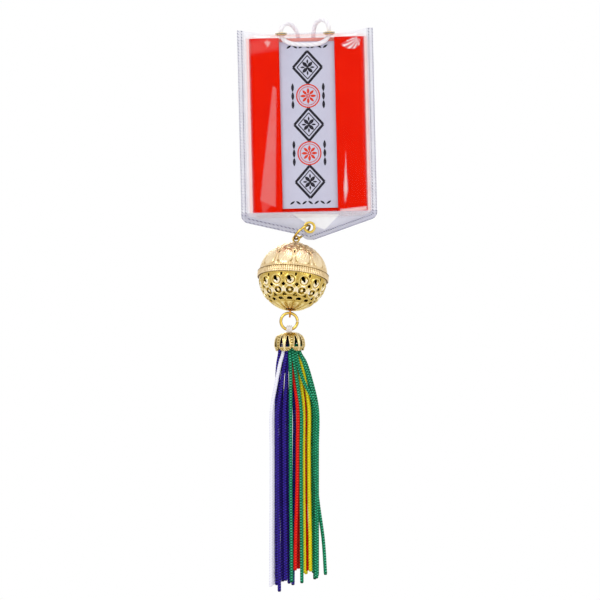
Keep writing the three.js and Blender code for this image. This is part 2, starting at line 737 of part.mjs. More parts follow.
function makeThreadAndBinding() {
  const clear = lowerRingWire / 2 + threadPlay + threadDiameter / 2;
  const foot = capHole - threadDiameter / 2 - gap;
  const low = bindingTop + gap;
  const side = (sign) => [
    [tasselX, tasselY + sign * foot, low],
    [tasselX, tasselY + sign * foot, capTop],
    [tasselX, tasselY + sign * clear * threadSideShare, ringFootZ - clear * threadWrapShare],
    [tasselX, tasselY + sign * clear * threadSideShare, ringFootZ + clear * threadWrapShare],
  ];
  const route = [...side(-1), [tasselX, tasselY, ringFootZ + clear], ...side(1).reverse()];
  const binding = turned([
    [0, bindingTop],
    [0, bindingTop - bindingHeight],
    [capRadius * bindingLowShare, bindingTop - bindingHeight],
    [capRadius * bindingTopShare, bindingTop],
  ], ringSegments);
  const wound = mesh('tassel_binding', binding, 'whiteCord');
  wound.position.set(tasselX, tasselY, 0);
  const thread = tube(route, threadDiameter, threadSides, threadSteps);
  return [mesh('tassel_thread', thread, 'whiteCord'), wound];
}

// Colour, then [column, layer] under the cap and [column, layer] lower down, with columns from left to
// right and layers from front to back, then the length as a share of the strands' length, how many
// columns the strand drifts on its way down, and how late it opens.
const strands = [
  ['purple', [-6, 0.1], [-4.5, 1.2], 1.03, 0.1, 0.7],
  ['white', [-4, 0], [-5.8, 0], 1.034, -0.15, 0.7],
  ['purple', [-2, 0], [-4.15, 0], 1.056, 0.45, 0.7],
  ['green', [0, 0], [-0.75, 0], 1.018, 0.25, 0.7],
  ['green', [2, 0], [2, 0], 1.022, 0.2, 1.1],
  ['green', [4, 0], [6.05, 0], 1.003, 0, 1.5],
  ['green', [6, 0.2], [5.6, 0.75], 0.99, 2.8, 0.85],
  ['white', [-5, 1], [-5.1, 2], 1.03, -0.2, 0.7],
  ['purple', [-3, 1], [-3.3, 1], 1.014, 0.5, 0.7],
  ['purple', [-1, 1], [-2.4, 0], 1.01, 0.35, 0.7],
  ['scarlet', [1, 1], [1.05, 0], 0.967, -0.6, 1.4],
  ['yellow', [3, 1], [2.6, 1], 0.98, 0.25, 0.7],
  ['yellow', [5, 1], [4.1, 1], 0.975, 0.35, 0.85],
  ['purple', [-2, 2], [-1.55, 2], 1.026, 0.4, 0.7],
  ['white', [-4, 2], [-2.95, 2], 1.018, 0, 0.7],
  ['purple', [0, 2], [0.2, 1], 1.031, -0.35, 0.7],
  ['green', [4, 2], [4.95, 2], 0.983, 0.3, 0.7],
  ['scarlet', [2, 2], [3, 2], 0.972, 0.6, 0.7],
  ['green', [6, 2], [6.25, 2], 0.996, 0, 0.7],
  ['purple', [-3, 3], [-4.4, 3], 1.006, 0, 0.7],
  ['scarlet', [-1, 3], [1.25, 3], 0.965, 0.05, 0.7],
  ['white', [1, 3], [2.2, 3], 1.01, 0, 0.7],
  ['yellow', [3, 3], [3.3, 3], 0.989, 0, 0.7],
  ['green', [5, 3], [5.6, 3], 1.012, 0, 0.7],
];
const strandShares = [0, 0.035, 0.08, 0.16, 0.28, 0.45, 0.65, 0.85, 1];

function strandRoute([, top, low, lengthShare, drift, late]) {
  const [topColumn, topLayer] = top;
  const [lowColumn, lowLayer] = low;
  const middleLayer = (layerCount - 1) / 2;
  return strandShares.map((share) => {
    const opening = (share - openShares.from) / (openShares.to - openShares.from);
    const open = THREE.MathUtils.clamp(opening, 0, 1) ** late;
    const drifted = smooth((share - driftShares.from) / (driftShares.to - driftShares.from));
    const settled = lowLayer > topLayer ? Math.sqrt(open) : open;
    const column = topColumn + (lowColumn - topColumn) * open + drift * drifted;
    const layer = topLayer + (lowLayer - topLayer) * settled;
    const across = column * (columnPitchTop + (columnPitchLow - columnPitchTop) * open);
    const deep = (layer - middleLayer) * (layerPitchTop + (layerPitchLow - layerPitchTop) * open);
    const drop = strandLength * lengthShare * share;
    const x = tasselX + across + strandSway * open - strandLeanShare * drop;
    return [x, tasselY + deep, strandTopZ - drop];
  });
}

function makeStrands() {
  return strands.map((strand, i) => {
    const name = `strand_${String(i + 1).padStart(2, '0')}_${strand[0]}`;
    return mesh(name, tube(strandRoute(strand), strandDiameter, strandSides, strandSteps), strand[0]);
  });
}

const charm = new THREE.Group();
charm.add(...makeSleeve(), ...makeEyelets(), ...makePacket(), ...makeCord());
charm.add(makeUpperRing(), makeLowerRing());
const ball = new THREE.Group();
ball.position.copy(ballCentre);
ball.rotation.copy(ballTurn);
ball.add(...makeBall());
charm.add(ball, makeInnerBell());
charm.add(makeCap(), ...makeThreadAndBinding(), ...makeStrands());

export default charm;
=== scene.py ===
import math

import bmesh
import bpy
import numpy as np
from mathutils import Color, Matrix, Vector


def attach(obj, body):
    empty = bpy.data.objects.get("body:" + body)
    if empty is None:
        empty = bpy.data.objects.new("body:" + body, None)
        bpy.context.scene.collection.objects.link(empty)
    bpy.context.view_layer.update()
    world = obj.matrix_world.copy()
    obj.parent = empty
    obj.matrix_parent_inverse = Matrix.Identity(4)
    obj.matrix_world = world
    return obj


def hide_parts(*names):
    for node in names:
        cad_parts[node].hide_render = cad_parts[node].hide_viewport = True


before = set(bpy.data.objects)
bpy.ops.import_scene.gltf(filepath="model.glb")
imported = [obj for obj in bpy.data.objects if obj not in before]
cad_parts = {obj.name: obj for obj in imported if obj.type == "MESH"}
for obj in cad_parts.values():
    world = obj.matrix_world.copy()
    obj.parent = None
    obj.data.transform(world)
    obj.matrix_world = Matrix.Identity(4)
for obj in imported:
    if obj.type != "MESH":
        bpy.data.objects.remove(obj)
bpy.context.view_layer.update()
scene = bpy.context.scene

MM = 0.001
TURN = 2 * math.pi
QUARTER = TURN / 4
degree = math.pi / 180

# The photograph: where the frame's origin is in it, what its middle is in the frame, and the camera's roll as a slope
PHOTO_SIZE = 600
PHOTO_ORIGIN = (305, 34)
PHOTO_CENTRE = (-4.86, -114.35)
PIXEL = 0.43
PHOTO_ROLL_SHARE = 0.0237
CAMERA_DISTANCE = 1500
SENSOR_WIDTH = 36


def smooth(share):
    share = np.clip(share, 0, 1)
    return share * share * (3 - 2 * share)


def bell(distance, width):
    """A round-topped hump of height 1."""
    return np.exp(-((distance / width) ** 2))


def wave(turns):
    """A wave between 0 and 1, highest at whole turns."""
    return 0.5 + 0.5 * np.cos(TURN * turns)


def metres(point):
    return [MM * value for value in point]


def joined(*parts):
    """Points from arrays of x, y and z of any shapes that fit each other."""
    return np.stack(np.broadcast_arrays(*parts), -1).astype(float)


def from_photo(px, py):
    """The x and z in the frame, at y = 0, of a pixel of the photograph."""
    x = (px - PHOTO_ORIGIN[0]) * PIXEL
    z = (PHOTO_ORIGIN[1] - py) * PIXEL
    return x + PHOTO_ROLL_SHARE * z, z - PHOTO_ROLL_SHARE * x


# Camera and light

LAMPS = {
    "key_lamp": {"place": (-520, -620, 330), "size": 360, "power": 1.8},
    "fill_lamp": {"place": (640, -560, 40), "size": 420, "power": 1.1},
    "top_lamp": {"place": (60, -60, 620), "size": 380, "power": 1.0},
    "back_lamp": {"place": (-120, 700, 260), "size": 420, "power": 1.2},
}
LAMP_TARGET = (-4, 0, -110)
DIFFUSE_LEVEL = 0.8
FLOOR_DROP = 300
FLOOR_RADIUS = 480
FLOOR_GLOW = 0.35
WHITE = (1, 1, 1, 1)


def make_camera():
    data = bpy.data.cameras.new("camera")
    data.sensor_width = SENSOR_WIDTH
    data.lens = SENSOR_WIDTH * CAMERA_DISTANCE / (PHOTO_SIZE * PIXEL)
    data.clip_end = 10
    camera = bpy.data.objects.new("camera", data)
    right = Vector((1, 0, -PHOTO_ROLL_SHARE)).normalized()
    up = Vector((PHOTO_ROLL_SHARE, 0, 1)).normalized()
    turn = Matrix((right, up, right.cross(up))).transposed().to_4x4()
    x, z = PHOTO_CENTRE
    camera.matrix_world = Matrix.Translation(metres((x, -CAMERA_DISTANCE, z))) @ turn
    scene.collection.objects.link(camera)
    scene.camera = camera


def make_world():
    """A white studio to the eye, in metal and through clear sheet, and a plain level of soft light elsewhere."""
    world = bpy.data.worlds.new("studio")
    world.use_nodes = True
    scene.world = world
    tree = world.node_tree
    path = tree.nodes.new("ShaderNodeLightPath")
    seen = path.outputs["Is Camera Ray"]
    for ray in ("Is Glossy Ray", "Is Transmission Ray"):
        either = tree.nodes.new("ShaderNodeMath")
        either.operation = "MAXIMUM"
        tree.links.new(seen, either.inputs[0])
        tree.links.new(path.outputs[ray], either.inputs[1])
        seen = either.outputs[0]
    level = tree.nodes.new("ShaderNodeMapRange")
    level.inputs["To Min"].default_value = DIFFUSE_LEVEL
    level.inputs["To Max"].default_value = 1
    tree.links.new(seen, level.inputs["Value"])
    background = tree.nodes["Background"]
    background.inputs["Color"].default_value = WHITE
    tree.links.new(level.outputs[0], background.inputs["Strength"])


def make_lamps():
    for name, lamp in LAMPS.items():
        data = bpy.data.lights.new(name, "AREA")
        data.shape = "DISK"
        data.size = lamp["size"] * MM
        data.energy = lamp["power"]
        made = bpy.data.objects.new(name, data)
        made.location = metres(lamp["place"])
        towards = Vector(metres(LAMP_TARGET)) - made.location
        made.rotation_euler = towards.to_track_quat("-Z", "Y").to_euler()
        scene.collection.objects.link(made)


class Graph:
    """A material's node tree. A value for a socket is a number, a colour or another node's output."""

    def __init__(self, name):
        self.material = bpy.data.materials.new(name)
        self.material.use_nodes = True
        self.tree = self.material.node_tree
        self.shader = self.tree.nodes["Principled BSDF"]
        self.place = None

    def put(self, node, socket, value):
        if isinstance(value, bpy.types.NodeSocket):
            self.tree.links.new(value, node.inputs[socket])
        else:
            node.inputs[socket].default_value = value

    def add(self, kind, inputs=None, **settings):
        node = self.tree.nodes.new("ShaderNode" + kind)
        for key, value in settings.items():
            setattr(node, key, value)
        for socket, value in (inputs or {}).items():
            self.put(node, socket, value)
        return node

    def surface(self, **inputs):
        for socket, value in inputs.items():
            self.put(self.shader, socket.replace("_", " ").title().replace("Ior", "IOR"), value)

    def output(self, shader):
        self.tree.links.new(shader.outputs[0], self.tree.nodes["Material Output"].inputs["Surface"])

    def position(self):
        if self.place is None:
            self.place = self.add("TexCoord").outputs["Object"]
        return self.place

    def math(self, operation, first, second=0.0, third=0.0):
        inputs = {0: first, 1: second, 2: third}
        return self.add("Math", inputs, operation=operation).outputs[0]

    def varied(self, level, noise, amount):
        """A level raised and lowered by a noise about its middle."""
        return self.math("MULTIPLY_ADD", self.math("SUBTRACT", noise, 0.5), amount, level)

    def value(self, name):
        return self.add("Attribute", attribute_name=name).outputs["Fac"]

    def noise(self, size, detail=3.0, roughness=0.5, stretch=None):
        """Noise between 0 and 1 whose lumps are about size across. stretch scales its axes."""
        place = self.position()
        if stretch:
            place = self.add("Mapping", {"Vector": place, "Scale": stretch}).outputs[0]
        inputs = {"Vector": place, "Scale": 1 / (size * MM), "Detail": detail, "Roughness": roughness}
        return self.add("TexNoise", inputs).outputs[0]

    def ramp(self, factor, *stops):
        """Colours for a factor, from stops of its value and a hex colour."""
        node = self.add("ValToRGB", {"Fac": factor})
        band = node.color_ramp.elements
        while len(band) < len(stops):
            band.new(0.5)
        for element, (place, code) in zip(band, stops):
            element.position = place
            element.color = colour(code)
        return node.outputs["Color"]

    def mix(self, factor, first, code):
        inputs = {0: factor, 6: first, 7: colour(code)}
        return self.add("Mix", inputs, data_type="RGBA").outputs[2]

    def bump(self, height, depth, under=None):
        """A bump whose full height is depth."""
        inputs = {"Height": height, "Distance": depth * MM, "Strength": 1.0}
        if under is not None:
            inputs["Normal"] = under
        return self.add("Bump", inputs).outputs[0]

    def phases(self, pitch):
        """The x and z of a place as the angle of a wave with that pitch."""
        parts = self.add("SeparateXYZ", {"Vector": self.position()}).outputs
        return [self.math("MULTIPLY", part, TURN / (pitch * MM)) for part in (parts[0], parts[2])]

    def weave(self, pitch):
        """Two crossed rows of threads, from 0 between the threads to 1 on their backs."""
        across, up = (self.math("SINE", phase) for phase in self.phases(pitch))
        return self.math("MULTIPLY_ADD", self.math("MULTIPLY", across, up), 0.5, 0.5)

    def dashes(self, pitch):
        """Waves between 0 and 1, a pitch apart along a level line and along an upright one."""
        both = self.math("ADD", *self.phases(pitch))
        return self.math("MULTIPLY_ADD", self.math("SINE", both), 0.5, 0.5)


def colour(code):
    """A hex colour as the linear values that a shader's socket takes."""
    shade = Color([int(code[i : i + 2], 16) / 255 for i in (1, 3, 5)])
    return (*shade.from_srgb_to_scene_linear(), 1)


def make_floor():
    """A pale floor under the hanging charm, white to the eye apart from the shadow on it."""
    bpy.ops.mesh.primitive_circle_add(vertices=96, radius=FLOOR_RADIUS * MM, fill_type="NGON")
    floor = bpy.context.object
    floor.name = "floor"
    floor.location = metres((0, 0, -FLOOR_DROP))
    graph = Graph("floor_paper")
    plain = graph.add("BsdfDiffuse", {"Color": colour("#f4f4f4")})
    seen = graph.add("LightPath").outputs["Is Camera Ray"]
    glow = graph.math("MULTIPLY", seen, FLOOR_GLOW)
    lift = graph.add("Emission", {"Color": colour("#ffffff"), "Strength": glow})
    graph.output(graph.add("AddShader", {0: plain.outputs[0], 1: lift.outputs[0]}))
    floor.data.materials.append(graph.material)


make_camera()
make_world()
make_lamps()
make_floor()

# Meshes


def grid(rows, columns, wrap_rows=False, wrap_columns=False):
    """Faces of a grid of points."""
    last_row = rows if wrap_rows else rows - 1
    last_column = columns if wrap_columns else columns - 1
    i, j = (index.ravel() for index in np.meshgrid(range(last_row), range(last_column), indexing="ij"))
    corner_rows = np.stack([i, i, i + 1, i + 1], 1)
    corner_columns = np.stack([j, j + 1, j + 1, j], 1)
    return (corner_rows % rows) * columns + corner_columns % columns


def reworked(mesh, change):
    """A mesh after a change made to it as a bmesh."""
    shaped = bmesh.new()
    shaped.from_mesh(mesh)
    change(shaped)
    shaped.to_mesh(mesh)
    shaped.free()


def make_piece(name, points, faces, finish, body, nodes=(), values=None, sharp=None):
    """One named piece. A finish is a material and its slot, and the slot is not used; values are numbers for each
    point.
    """
    mesh = bpy.data.meshes.new(name)
    faces = faces.tolist() if isinstance(faces, np.ndarray) else faces
    mesh.from_pydata((np.reshape(points, (-1, 3)) * MM).tolist(), [], faces)
    for key, numbers in (values or {}).items():
        layer = mesh.attributes.new(key, "FLOAT", "POINT")
        layer.data.foreach_set("value", np.asarray(numbers, np.float32).ravel())
    reworked(mesh, lambda shaped: bmesh.ops.recalc_face_normals(shaped, faces=shaped.faces))
    mesh.shade_smooth()
    if sharp is not None:
        mesh.set_sharp_from_angle(angle=sharp)
    material, slot = finish
    mesh.materials.append(material)
    piece = bpy.data.objects.new(name, mesh)
    scene.collection.objects.link(piece)
    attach(piece, body)
    if nodes:
        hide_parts(*nodes)
    return piece


def lengths_along(path):
    return np.concatenate([[0], np.cumsum(np.linalg.norm(np.diff(path, axis=0), axis=1))])


def evened(line, even):
    """The points that lie the given lengths along a line."""
    along = lengths_along(line)
    return np.stack([np.interp(even, along, part) for part in line.T], 1)


def curve_through(points, step):
    """Even steps along the centripetal Catmull-Rom curve through the points."""
    points = np.asarray(points, float)
    padded = np.vstack([2 * points[0] - points[1], points, 2 * points[-1] - points[-2]])
    share = np.linspace(0, 1, 33)[:-1, None]
    pieces = []
    for a, b, c, d in zip(padded, padded[1:], padded[2:], padded[3:]):
        near, span, far = (math.sqrt(np.linalg.norm(q - p)) for p, q in ((a, b), (b, c), (c, d)))
        leave = ((b - a) / near - (c - a) / (near + span) + (c - b) / span) * span
        arrive = ((c - b) / span - (d - b) / (span + far) + (d - c) / far) * span
        cubic = 2 * b - 2 * c + leave + arrive
        square = -3 * b + 3 * c - 2 * leave - arrive
        pieces.append(cubic * share**3 + square * share**2 + leave * share + b)
    line = np.vstack([*pieces, padded[-2]])
    whole = lengths_along(line)[-1]
    return evened(line, np.linspace(0, whole, max(int(whole / step), 2) + 1))


def circle(count):
    return np.arange(count) / count * TURN


def sweep(path, radii, looped=False):
    """Rings of points round a path, one row of radii for each of its points."""
    path = np.asarray(path, float)
    if looped:
        tangents = np.roll(path, -1, 0) - np.roll(path, 1, 0)
    else:
        tangents = np.gradient(path, axis=0)
    tangents /= np.linalg.norm(tangents, axis=1, keepdims=True)
    side = np.cross(tangents[0], (0.31, 0.95, 0.07))
    sides = []
    for tangent in tangents:
        side = side - tangent * side.dot(tangent)
        side /= np.linalg.norm(side)
        sides.append(side)
    sides = np.array(sides)
    ups = np.cross(tangents, sides)
    angles = circle(radii.shape[1])[None, :, None]
    ring = np.cos(angles) * sides[:, None] + np.sin(angles) * ups[:, None]
    return path[:, None] + radii[:, :, None] * ring


def capped(rows, columns):
    """Faces of a grid that closes round in columns, with a flat face on its first row and on its last."""
    ends = [list(range(columns)), list(range((rows - 1) * columns, rows * columns))]
    return grid(rows, columns, False, True).tolist() + ends


def merged(grids, wrapped=False):
    """Points and faces of several grids of points as one mesh."""
    points, faces, start = [], [], 0
    for part in grids:
        faces.append(grid(*part.shape[:2], wrapped, wrapped) + start)
        points.append(part.reshape(-1, 3))
        start += len(points[-1])
    return np.vstack(points), np.vstack(faces)


def tube_piece(name, path, radii, finish, body, nodes, height):
    """A closed tube along a path."""
    return make_piece(name, sweep(path, radii), capped(*radii.shape), finish, body, nodes, {"height": height})


def about_z(radius, turn, height):
    """Points that lie a radius from Z, at an angle from the front."""
    return joined(radius * np.sin(turn), -radius * np.cos(turn), height)


def turned_points(profile, segments):
    """A profile of [radius, height] points turned about Z, one row for each angle."""
    radius, height = np.asarray(profile, float).T
    return about_z(radius, circle(segments)[:, None], height)


def turned_piece(name, profile, segments, place, finish, body, nodes, turn=None, height=0.6):
    """A closed profile turned about Z, then turned and moved to its place."""
    points = turned_points(profile, segments)
    rows, columns = points.shape[:2]
    if turn is not None:
        points = points @ np.asarray(turn).T
    heights = np.broadcast_to(height, (rows, columns))
    return make_piece(name, points + place, grid(rows, columns, True, True), finish, body, nodes, {"height": heights})


def arc(cx, cy, radius, start, end, steps):
    turns = np.linspace(start, end, steps + 1)
    return [[cx + radius * math.cos(t), cy + radius * math.sin(t)] for t in turns]


def thick_sheet(front, back):
    """Points and faces of a closed sheet from a grid of points for each of its two sides."""
    rows, columns = front.shape[:2]
    faces = grid(rows, columns)
    count = rows * columns
    index = np.arange(count).reshape(rows, columns)
    rim = np.concatenate([index[0, :-1], index[:-1, -1], index[-1, :0:-1], index[:0:-1, 0]])
    after = np.roll(rim, -1)
    sides = np.stack([rim, after, after + count, rim + count], 1)
    return np.stack([front, back]), np.vstack([faces, faces[:, ::-1] + count, sides])


# A point nearer than this share of a step to a hole's rim counts as on it
RIM_SNAP = 0.2


def onto_rims(distance, first, second, scales, small, least, reach, held=()):
    """Two coordinates of a grid of points, with those within reach of a hole's rim moved onto it.

    distance gives how far a place is from the rim in mm, scales are the mm to one unit of each coordinate, and small
    is the step that its slope is taken over. least keeps a flat slope from moving a point far, and held rows stay.
    """
    away = distance(first, second)
    first_slope = (distance(first + small, second) - away) / (small * scales[0])
    second_slope = (distance(first, second + small) - away) / (small * scales[1])
    steep = np.maximum(first_slope**2 + second_slope**2, least)
    step = np.where(np.abs(away) < reach, -away / steep, 0)
    step[list(held)] = 0
    return first + step * first_slope / scales[0], second + step * second_slope / scales[1]


def pierced_piece(name, outer, inner, distance, height, inner_height, finish, body, node):
    """A thin wall between two grids of points, closed round in columns, and open where distance isn't above 0."""
    count = distance.size
    faces = grid(*distance.shape, False, True)
    kept = faces[distance.ravel()[faces].mean(1) > 1e-9]
    edges = np.stack([kept, np.roll(kept, -1, 1)], -1).reshape(-1, 2)
    key = np.sort(edges, 1)
    _, first, times = np.unique(key[:, 0] * count + key[:, 1], return_index=True, return_counts=True)
    start, end = edges[first[times == 1]].T
    walls = np.stack([end, start, start + count, end + count], 1)
    faces = np.vstack([kept, kept[:, ::-1] + count, walls])
    # The inner side takes one height value, which darkens it as painted shade
    heights = np.stack([height, np.full(height.shape, inner_height)])
    piece = make_piece(name, np.stack([outer, inner]), faces, finish, body, [node], {"height": heights})

    def drop_lone(shaped):
        bmesh.ops.delete(shaped, geom=[v for v in shaped.verts if not v.link_faces], context="VERTS")

    reworked(piece.data, drop_lone)
    return piece


def cut(piece, place):
    """Cut the shape that was made last, moved to its place, out of a piece."""
    cutter = bpy.context.object
    cutter.matrix_world = place
    bpy.context.view_layer.update()
    modifier = piece.modifiers.new("cut", "BOOLEAN")
    modifier.object = cutter
    with bpy.context.temp_override(object=piece, active_object=piece):
        bpy.ops.object.modifier_apply(modifier=modifier.name)
    bpy.data.objects.remove(cutter)


# Materials. Each finish is a material and the slot that goes with it.

WELD_WIDTH = 2.95
KNURL_PITCH = 1.3
DASH_PITCH = 1.3
# Each line pressed along the sleeve's edge: its distance from the edge, its width, and the least dash that shows
WELD_LINES = ((1.9, 0.5, 0.72), (0.35, 0.5, 0.78))
BINDING_LEFT, BINDING_RIGHT = -16, -4


def make_gold(name, light, shade, deep, roughness, grain=0.22):
    """Bright gilt, with painted shade in the hollows and painted highlights on the crests, as the height value sets
    them; its palest stop is a painted highlight.
    """
    graph = Graph(name)
    level = graph.varied(graph.value("height"), graph.noise(1.6, 4), grain)
    tone = graph.ramp(level, (0.0, deep), (0.32, shade), (0.62, light), (1.0, "#fdf0d8"))
    fine = graph.noise(0.25, 4)
    uneven = graph.math("MULTIPLY_ADD", fine, 0.14, roughness)
    dents = graph.bump(graph.noise(0.7, 3), 0.035, graph.bump(fine, 0.006))
    graph.surface(base_color=tone, metallic=1.0, roughness=uneven, normal=dents)
    return graph.material, "gilt_brass"


def make_thread(name, slot, light, shade, glint=None, roughness=0.6):
    """Braided or laid thread: painted highlights on its raised parts, up to a painted glint, and painted shade in the
    gaps between them.
    """
    graph = Graph(name)
    fibre = graph.noise(0.12, 2, 0.6, (1, 1, 0.25))
    level = graph.varied(graph.value("height"), graph.noise(3.0, 3), 0.25)
    level = graph.varied(level, fibre, 0.3)
    tone = graph.ramp(level, (0.22, shade), (0.5, light), (0.62, light), (0.85, glint or light))
    graph.surface(base_color=tone, roughness=roughness, normal=graph.bump(fibre, 0.03))
    graph.surface(sheen_weight=0.02, sheen_roughness=0.4, specular_ior_level=0.12)
    return graph.material, slot


def make_binding_thread():
    """Thread inside the cap, near black as painted shade there, tinted purple to the left and green to the right as the
    strands' heads under it are.
    """
    graph = Graph("binding_thread")
    x = graph.add("SeparateXYZ", {"Vector": graph.position()}).outputs[0]
    span = {"Value": x, "From Min": BINDING_LEFT * MM, "From Max": BINDING_RIGHT * MM}
    across = graph.add("MapRange", span).outputs[0]
    tone = graph.ramp(across, (0.0, "#3a1650"), (0.5, "#14142c"), (1.0, "#0c3c18"))
    fibre = graph.noise(0.3, 2, 0.6, (1, 1, 0.25))
    tone = graph.mix(graph.math("MULTIPLY", fibre, 0.5), tone, "#08080e")
    graph.surface(base_color=tone, roughness=0.7, specular_ior_level=0.1, normal=graph.bump(fibre, 0.05))
    return graph.material, "white_thread"


def make_cloth(name, slot, light, shade, pitch, depth, roughness, sheen):
    """Woven cloth, with threads a pitch apart and slow changes of tone."""
    graph = Graph(name)
    weave = graph.weave(pitch)
    slub = graph.noise(0.5, 3, 0.6, (1, 1, 0.3))
    level = graph.varied(graph.varied(weave, graph.noise(7.0, 3), 0.5), slub, 0.8)
    graph.surface(base_color=graph.ramp(level, (0.0, shade), (0.9, light)), roughness=roughness)
    graph.surface(sheen_weight=sheen, sheen_roughness=0.4, specular_ior_level=0.02)
    graph.surface(normal=graph.bump(weave, depth, graph.bump(slub, depth)))
    return graph.material, slot


def make_vinyl():
    """Clear sheet, milky where the haze value says, with the press marks of its weld. Painted shines raise its haze,
    painted light and shade set its facets' tone, and a painted red glow tints it pink.
    """
    graph = Graph("clear_vinyl")
    graph.tree.nodes.remove(graph.shader)
    cloud = graph.math("MULTIPLY_ADD", graph.noise(6.0, 2), 0.5, 0.75)
    haze = graph.math("MULTIPLY", graph.value("haze"), cloud)
    edge = graph.value("edge")
    weld = graph.math("LESS_THAN", edge, WELD_WIDTH)
    pressed = graph.math("MULTIPLY", weld, graph.weave(KNURL_PITCH))
    grain = graph.math("MULTIPLY", graph.noise(2.2, 2), 0.6)
    dashes = graph.math("MULTIPLY_ADD", graph.dashes(DASH_PITCH), 0.7, grain)
    marks = []
    for inset, width, least in WELD_LINES:
        away = graph.math("ABSOLUTE", graph.math("SUBTRACT", edge, inset))
        near = graph.math("LESS_THAN", away, width / 2)
        marks.append(graph.math("MULTIPLY", near, graph.math("GREATER_THAN", dashes, least)))
    line = graph.math("MAXIMUM", *marks)
    # Painted light and shade of the sheet's facets, up to white in the painted shines
    tone = graph.ramp(graph.value("painted_facet_light"), (0.0, "#c4c4d2"), (0.5, "#e4e4f2"), (1.0, "#ffffff"))
    tone = graph.mix(graph.math("MULTIPLY", pressed, 0.6), tone, "#babace")
    tone = graph.mix(line, tone, "#6a6a8c")
    # A painted red glow from the packet
    tone = graph.mix(graph.value("red_glow"), tone, "#ffc4ba")
    haze = graph.math("MULTIPLY_ADD", pressed, 0.08, haze)
    haze = graph.math("MAXIMUM", haze, graph.math("MULTIPLY", line, 0.62))
    dents = graph.bump(pressed, 0.07, graph.bump(graph.noise(11.0, 1), 0.2))
    milk = graph.add("BsdfDiffuse", {"Color": tone, "Normal": dents})
    clear = graph.add("BsdfTransparent", {"Color": WHITE})
    body = graph.add("MixShader", {0: haze, 1: clear.outputs[0], 2: milk.outputs[0]})
    gloss = graph.add("BsdfGlossy", {"Color": WHITE, "Roughness": 0.1, "Normal": dents})
    skin = graph.add("Fresnel", {"IOR": 1.12, "Normal": dents}).outputs[0]
    outside = graph.math("SUBTRACT", 1.0, graph.add("NewGeometry").outputs["Backfacing"])
    skin = graph.math("MULTIPLY", skin, outside)
    graph.output(graph.add("MixShader", {0: skin, 1: body.outputs[0], 2: gloss.outputs[0]}))
    return graph.material, "clear_vinyl"


gold = make_gold("gilt_wire", "#e8c860", "#a8821e", "#583a08", 0.16)
amber_gold = make_gold("amber_gilt", "#d89a3c", "#a0601c", "#4a2208", 0.2)
cap_gold = make_gold("cap_gilt", "#eedaa6", "#ac8e42", "#3e2e0a", 0.2)
# One gilt in two copies: a lit copy for the upper shell and the band, paler as painted light from above, and a shaded
# copy, darker and yellower, for the lower shell
upper_lit_gold = make_gold("upper_lit_gilt", "#f0dab0", "#d6b680", "#5e4418", 0.24, 0.42)
lower_shaded_gold = make_gold("lower_shaded_gilt", "#e6cf84", "#b5912e", "#54390c", 0.17)
# Dark unplated brass for the insides, made darker still as painted shade inside the ball and the bell
shaded_raw_brass = make_gold("shaded_raw_brass", "#4a3010", "#2c1b08", "#120a02", 0.5)
clear_vinyl = make_vinyl()
red_cloth = make_cloth("red_cloth", "red_cloth", "#ea1c00", "#d40c00", 0.6, 0.02, 0.8, 0)
inner_cloth = make_cloth("inner_cloth", "red_cloth", "#f8aca2", "#ec8e84", 0.42, 0.03, 0.8, 0)
white_satin = make_cloth("white_satin", "white_satin", "#c9c9db", "#b9b9cd", 0.34, 0.02, 0.5, 0.1)
black_thread = make_thread("black_thread", "white_satin", "#26242e", "#09080d", None, 0.4)
red_thread = make_thread("red_thread", "white_satin", "#d8402c", "#9c160c", None, 0.45)
white_cord = make_thread("white_cord", "white_cord", "#f0eef2", "#e6e3e9", None, 0.45)
white_thread = make_thread("white_thread", "white_thread", "#f2eff0", "#dcd7da", None, 0.5)
binding_thread = make_binding_thread()
# Each strand colour: its lit tone, its tone of painted shade, and its painted glint
STRAND_COLOURS = {
    "white": ("#ebeaf4", "#e0dfec", "#f2f2f8"),
    "purple": ("#24107a", "#10063a", "#4834b4"),
    "scarlet": ("#de100a", "#a80604", "#f2402e"),
    "yellow": ("#ecdc10", "#d8be08", "#f8ee48"),
    "green": ("#027a50", "#003622", "#54d0a4"),
}
strand_threads = {}
for shade, tones in STRAND_COLOURS.items():
    strand_threads[shade] = make_thread("strand_" + shade, "strand_" + shade, *tones)

# Hanging cord: a held stretch under the roof, two free stretches behind the sleeve, and their knot

CORD_DIAMETER = 1.9
CORD = {"diameter": CORD_DIAMETER, "plies": 3, "lay": 2.6, "relief": 0.02, "sides": 20,
        "finish": white_cord, "body": "root"}
CORD_STEP = 0.3
CORD_FRONT_ROUTE = [
    (-10.3, -1.6, 0), (-10.2, -1.7, -0.9), (-9.6, -2.1, -2.0), (-8.3, -2.55, -3.2), (-6.2, -2.7, -4.1),
    (-3.4, -2.7, -4.6), (0, -2.7, -4.8), (3.4, -2.7, -4.8), (6.4, -2.7, -4.3), (8.4, -2.55, -3.3),
    (9.6, -2.1, -2.0), (10.2, -1.7, -0.9), (10.3, -1.6, 0),
]
CORD_LEFT_ROUTE = [
    (-10.3, -1.6, 0.3), (-10.25, -1.5, 1.6), (-9.6, -0.8, 3.4), (-8.0, 0.7, 4.6), (-5.9, 2.6, 4.3),
    (-4.1, 4.0, 2.4), (-3.1, 4.5, -0.4), (-2.5, 4.5, -5), (-2.2, 4.1, -14), (-2.3, 3.8, -24),
    (-1.9, 4.0, -34), (-0.8, 4.8, -40.5), (-0.3, 5.0, -43.1),
]
